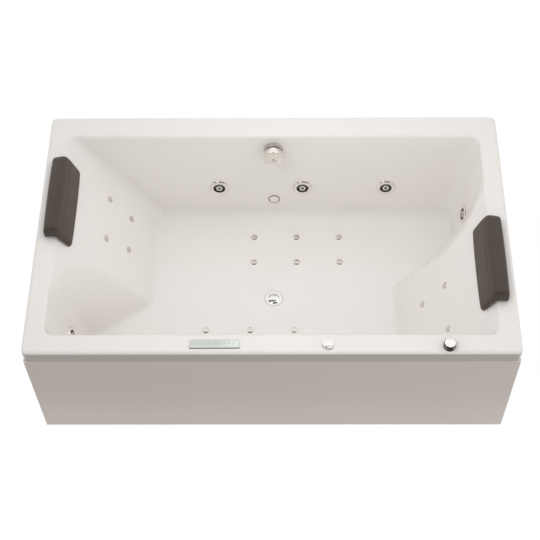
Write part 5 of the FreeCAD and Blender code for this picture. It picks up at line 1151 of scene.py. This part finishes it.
# %% Pad glass
def pad_glass_finish():
    """Mint glass with a painted reflection that pales it to the right of its middle, with nine
    keys 17 mm apart, each a thin ring of 4 mm with a stroke in it, and a pale strip along the
    front edge."""
    material = finish("mint_glass", tone(214, 226, 215), tone(209, 221, 210), (0.06, 0.12),
                      200, 0.000005, scale=60, coat=0.4)
    tree = material.node_tree
    x, y, _ = coordinates(tree)

    def sums(operation, *inputs, clamp=False):
        """Math node of this material."""
        return calculate(tree, operation, *inputs, clamp=clamp)

    along = sums("ADD", x, KEY_STEP / 2 - PAD_X)
    across = sums("ADD", y, -PAD_Y - 0.0015)
    within = sums("SUBTRACT", sums("FLOORED_MODULO", along, KEY_STEP), KEY_STEP / 2)
    radius = sums("SQRT", sums("ADD", sums("MULTIPLY", within, within),
                               sums("MULTIPLY", across, across)))
    ring = sums("LESS_THAN", sums("ABSOLUTE", sums("SUBTRACT", radius, 0.0040)), 0.00045)
    stroke = sums("MULTIPLY", sums("LESS_THAN", sums("ABSOLUTE", within), 0.0004),
                  sums("LESS_THAN", sums("ABSOLUTE", across), 0.0022))
    used = sums("LESS_THAN", sums("ABSOLUTE", sums("ADD", x, -PAD_X)), 4.5 * KEY_STEP)
    marks = sums("MULTIPLY", sums("MAXIMUM", ring, stroke), used)
    strip = sums("LESS_THAN", y, PAD_Y - 0.0102)
    # Painted reflection: the glass pales to the right of its middle.
    pale = sums("MULTIPLY", sums("ADD", x, -PAD_X - 0.014), 1 / 0.055, clamp=True)
    shader = tree.nodes["Principled BSDF"]
    colour = shader.inputs["Base Color"].links[0].from_socket
    for mask, paint in ((pale, tone(240, 244, 240)), (marks, tone(176, 194, 182)),
                        (strip, tone(240, 244, 240))):
        mix = tree.nodes.new("ShaderNodeMix")
        mix.data_type = "RGBA"
        tree.links.new(mask, mix.inputs["Factor"])
        tree.links.new(colour, mix.inputs["A"])
        mix.inputs["B"].default_value = paint
        colour = mix.outputs["Result"]
    tree.links.new(colour, shader.inputs["Base Color"])
    return material


pad_glass = new_piece("pad_glass", [
    rounded_slab(0.0872, 0.0142, 0.0015, [(0.0002, 0.00101), (0, 0.0012), (0, 0.0031),
                                          (0.0001, 0.0033), (0.0003, 0.0034)], PAD)],
    pad_glass_finish(), "tub")
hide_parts("touch_pad_glass")
print("pad glass", len(pad_glass.data.polygons), "faces")

# %% [markdown]
# The headrests are moulded foam with a closed skin: a lobe that lies on the rim, a rounded
# ridge, a soft waist, and a flap that leans on the backrest. Foam from a mould isn't sewn
# cloth, so the form is drawn and not simulated. A closed B-spline gives the section. Along the
# length the open faces swell to a crown, and the ends close in like the end of a loaf.

# %% Headrest section
def closed_spline(control):
    """Uniform cubic B-spline round closed control points, six points to a span: each span
    weighs four neighbours by the cubic basis, so the line is smooth and never leaves their
    hull."""
    t = np.linspace(0, 1, 6, endpoint=False)[:, None, None]
    weights = [(1 - t) ** 3, 3 * t ** 3 - 6 * t ** 2 + 4,
               -3 * t ** 3 + 3 * t ** 2 + 3 * t + 1, t ** 3]
    rolled = [np.roll(control, shift, 0)[None] for shift in (1, 0, -1, -2)]
    spans = sum(weight * part for weight, part in zip(weights, rolled)) / 6
    return spans.transpose(1, 0, 2).reshape(-1, 2)


def headrest_controls():
    """(x, z) controls of the left headrest, in metres: the open faces over ridge, waist and
    flap, then the contact line up the backrest, round the rim's edge and out over the rim,
    clear of the acrylic by 0.6 to 1 mm."""
    open_faces = np.array([
        (-864.6, 581.3), (-866.2, 585.0), (-866.9, 594), (-867.0, 605), (-866.4, 614),
        (-863.2, 620.5), (-856.5, 624.0), (-847, 626.6), (-837, 629.6), (-828, 631.8),
        (-818, 632.2), (-809.5, 629.0), (-804.0, 621.5), (-802.4, 614.5), (-799.6, 608.0),
        (-796.0, 600), (-791.5, 587), (-785.5, 569), (-779.5, 550), (-774.2, 534),
        (-771.4, 526.0), (-771.6, 520.6), (-774.8, 517.2), (-778.9, 517.4),
    ]) / 1000
    over_backrest, over_round, over_rim = 0.0010, 0.0007, 0.0006
    height = np.linspace(0.5205, 0.572, 12)
    backrest = np.stack([over_backrest - backrest_half(height), height], 1)
    reach = RIM_ROUND * (1 - math.sin(BACKREST)) / math.cos(BACKREST)
    centre = np.array([-BASIN_LENGTH / 2 - reach, DECK - RIM_ROUND])
    edge = centre + (RIM_ROUND + over_round) * directions(np.linspace(BACKREST, math.pi / 2, 7))
    rim = np.stack([np.linspace(-0.837, -0.8615, 5), np.full(5, DECK + over_rim)], 1)
    return np.concatenate([open_faces, backrest, edge, rim])


print("headrest's section", closed_spline(headrest_controls()).shape)

# %% [markdown]
# The section is carried along the headrest's length. Foam swells where nothing holds it, so its
# open faces get a crown that is highest in the middle, and stay flat where they touch the tub.
# Towards an end every point closes in on a line through the foam, which makes the round end.

# %% Headrests
HEADREST_OFFSET = 0.145


def headrest_grid():
    """Section swept along Y. Each point is spine + (section - spine)*k: the spine is a line
    through the middle of the foam, k is 1 in the middle and falls to 0 over the last 26 mm as
    the quarter of a superellipse of power 2.4. The crown adds up to 3.8 mm on the open faces."""
    section = closed_spline(headrest_controls())
    spine_line = np.array([(-0.858, 0.600), (-0.825, 0.606), (-0.808, 0.594), (-0.783, 0.532)])
    a, b = spine_line[:-1], spine_line[1:]
    along = np.clip(((section[:, None] - a) * (b - a)).sum(-1) / ((b - a) ** 2).sum(-1), 0, 1)
    feet = a + along[..., None] * (b - a)
    nearest = np.linalg.norm(section[:, None] - feet, axis=-1).argmin(1)
    spine = feet[np.arange(len(section)), nearest]
    out = section - spine
    # A point touches the tub where it lies low over the rim, or close to the backrest's plane.
    touches = (section[:, 1] < DECK + 0.004) & (section[:, 0] < -0.826) | (
        section[:, 0] + backrest_half(section[:, 1]) < 0.004) & (section[:, 1] < DECK + 0.002)
    half, end, power = 0.1848, 0.026, 2.4
    tail = half - end + end * np.sin(np.linspace(0, math.pi / 2, 15)) ** (2 / power)
    body = np.linspace(0, half - end, 18)[:-1]
    side = np.concatenate([body, tail])
    offsets = np.concatenate([-side[::-1], side[1:]])
    near_end = np.clip((np.abs(offsets) - (half - end)) / end, 0, 1)
    k = (1 - near_end ** power) ** (1 / power)
    crown = 0.0038 * np.clip(1 - (np.abs(offsets) / half) ** 2.6, 0, 1)
    swell = np.where(touches, 0, 1) * np.clip(np.linalg.norm(out, axis=1) / 0.010, 0, 1)
    away = out / np.linalg.norm(out, axis=1, keepdims=True)
    plan = spine + out * k[:, None, None] + away * (crown[:, None] * swell * k[:, None])[..., None]
    y = np.broadcast_to((BASIN_SHIFT + HEADREST_OFFSET + offsets)[:, None], plan.shape[:2])
    return np.stack([plan[..., 0], y, plan[..., 1]], -1)


FOAM = finish("headrest_foam", tone(78, 66, 56), tone(66, 56, 48), (0.36, 0.48), 700, 0.00010,
              scale=50, coat=0.05, index=1.45)
grid = headrest_grid()
quads = grid_faces(*grid.shape[:2], True)
for name, place in (("left_headrest", Matrix.Identity(4)), ("right_headrest", HALF_TURN)):
    pillow = new_piece(name + "_foam", [(placed(grid, place), quads)], FOAM, "tub")
    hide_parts(name)
print("headrests", grid.shape[:2])

# %% [markdown]
# What the rim and the panel hide is still there, and other views look at it from behind and
# below. These pieces keep the model's own shapes. Each gets the finish of the real thing: coated
# steel, grey and white pipe, chipboard, cast and moulded parts.

# %% Finishes on the model's own pieces
own_finishes = {
    "front_apron": PANEL, "apron_clips": BRIGHT_ZINC, "floor_board": CHIPBOARD,
    "long_rails": ZINC, "cross_rails": ZINC, "rim_posts": ZINC, "equipment_trays": ZINC,
    "foot_lock_nuts": BRIGHT_ZINC, "jet_bodies": DARK_MOULDING_AND_PAINTED_SHADE, "air_jet_bodies": WHITE_PLASTIC,
    "water_pipes": WHITE_PIPE, "jet_air_line": CLEAR_HOSE, "air_pipes": WHITE_PIPE,
    "blower_hose": GREY_HOSE, "overflow_elbow": BLACK_PLASTIC, "overflow_pipe": WHITE_PIPE,
    "plug_cable": BLACK_PLASTIC, "drain_body": BLACK_PLASTIC, "suction_body": WHITE_PLASTIC,
    "suction_cover": SATIN_CHROME, "fitting_nuts": WHITE_PLASTIC, "pump_wet_end": BLACK_PLASTIC,
    "pump_motor": MOTOR_PAINT, "pump_rotor": BLACK_PLASTIC, "blower_case": BLACK_PLASTIC,
    "blower_rotor": WHITE_PLASTIC, "control_box": BOX_PLASTIC, "control_box_lid": BOX_PLASTIC,
    "control_lines": BLACK_PLASTIC,
}
for row in ("front", "back"):
    for column in ("left", "middle", "right"):
        own_finishes[f"{row}_{column}_foot"] = BLACK_PLASTIC
shown = {name: node for name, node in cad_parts.items() if not node.hide_render}
for name, node in shown.items():
    for material_slot in node.material_slots:
        material_slot.material = own_finishes[name]
print(len(shown), "pieces of the model are shown")
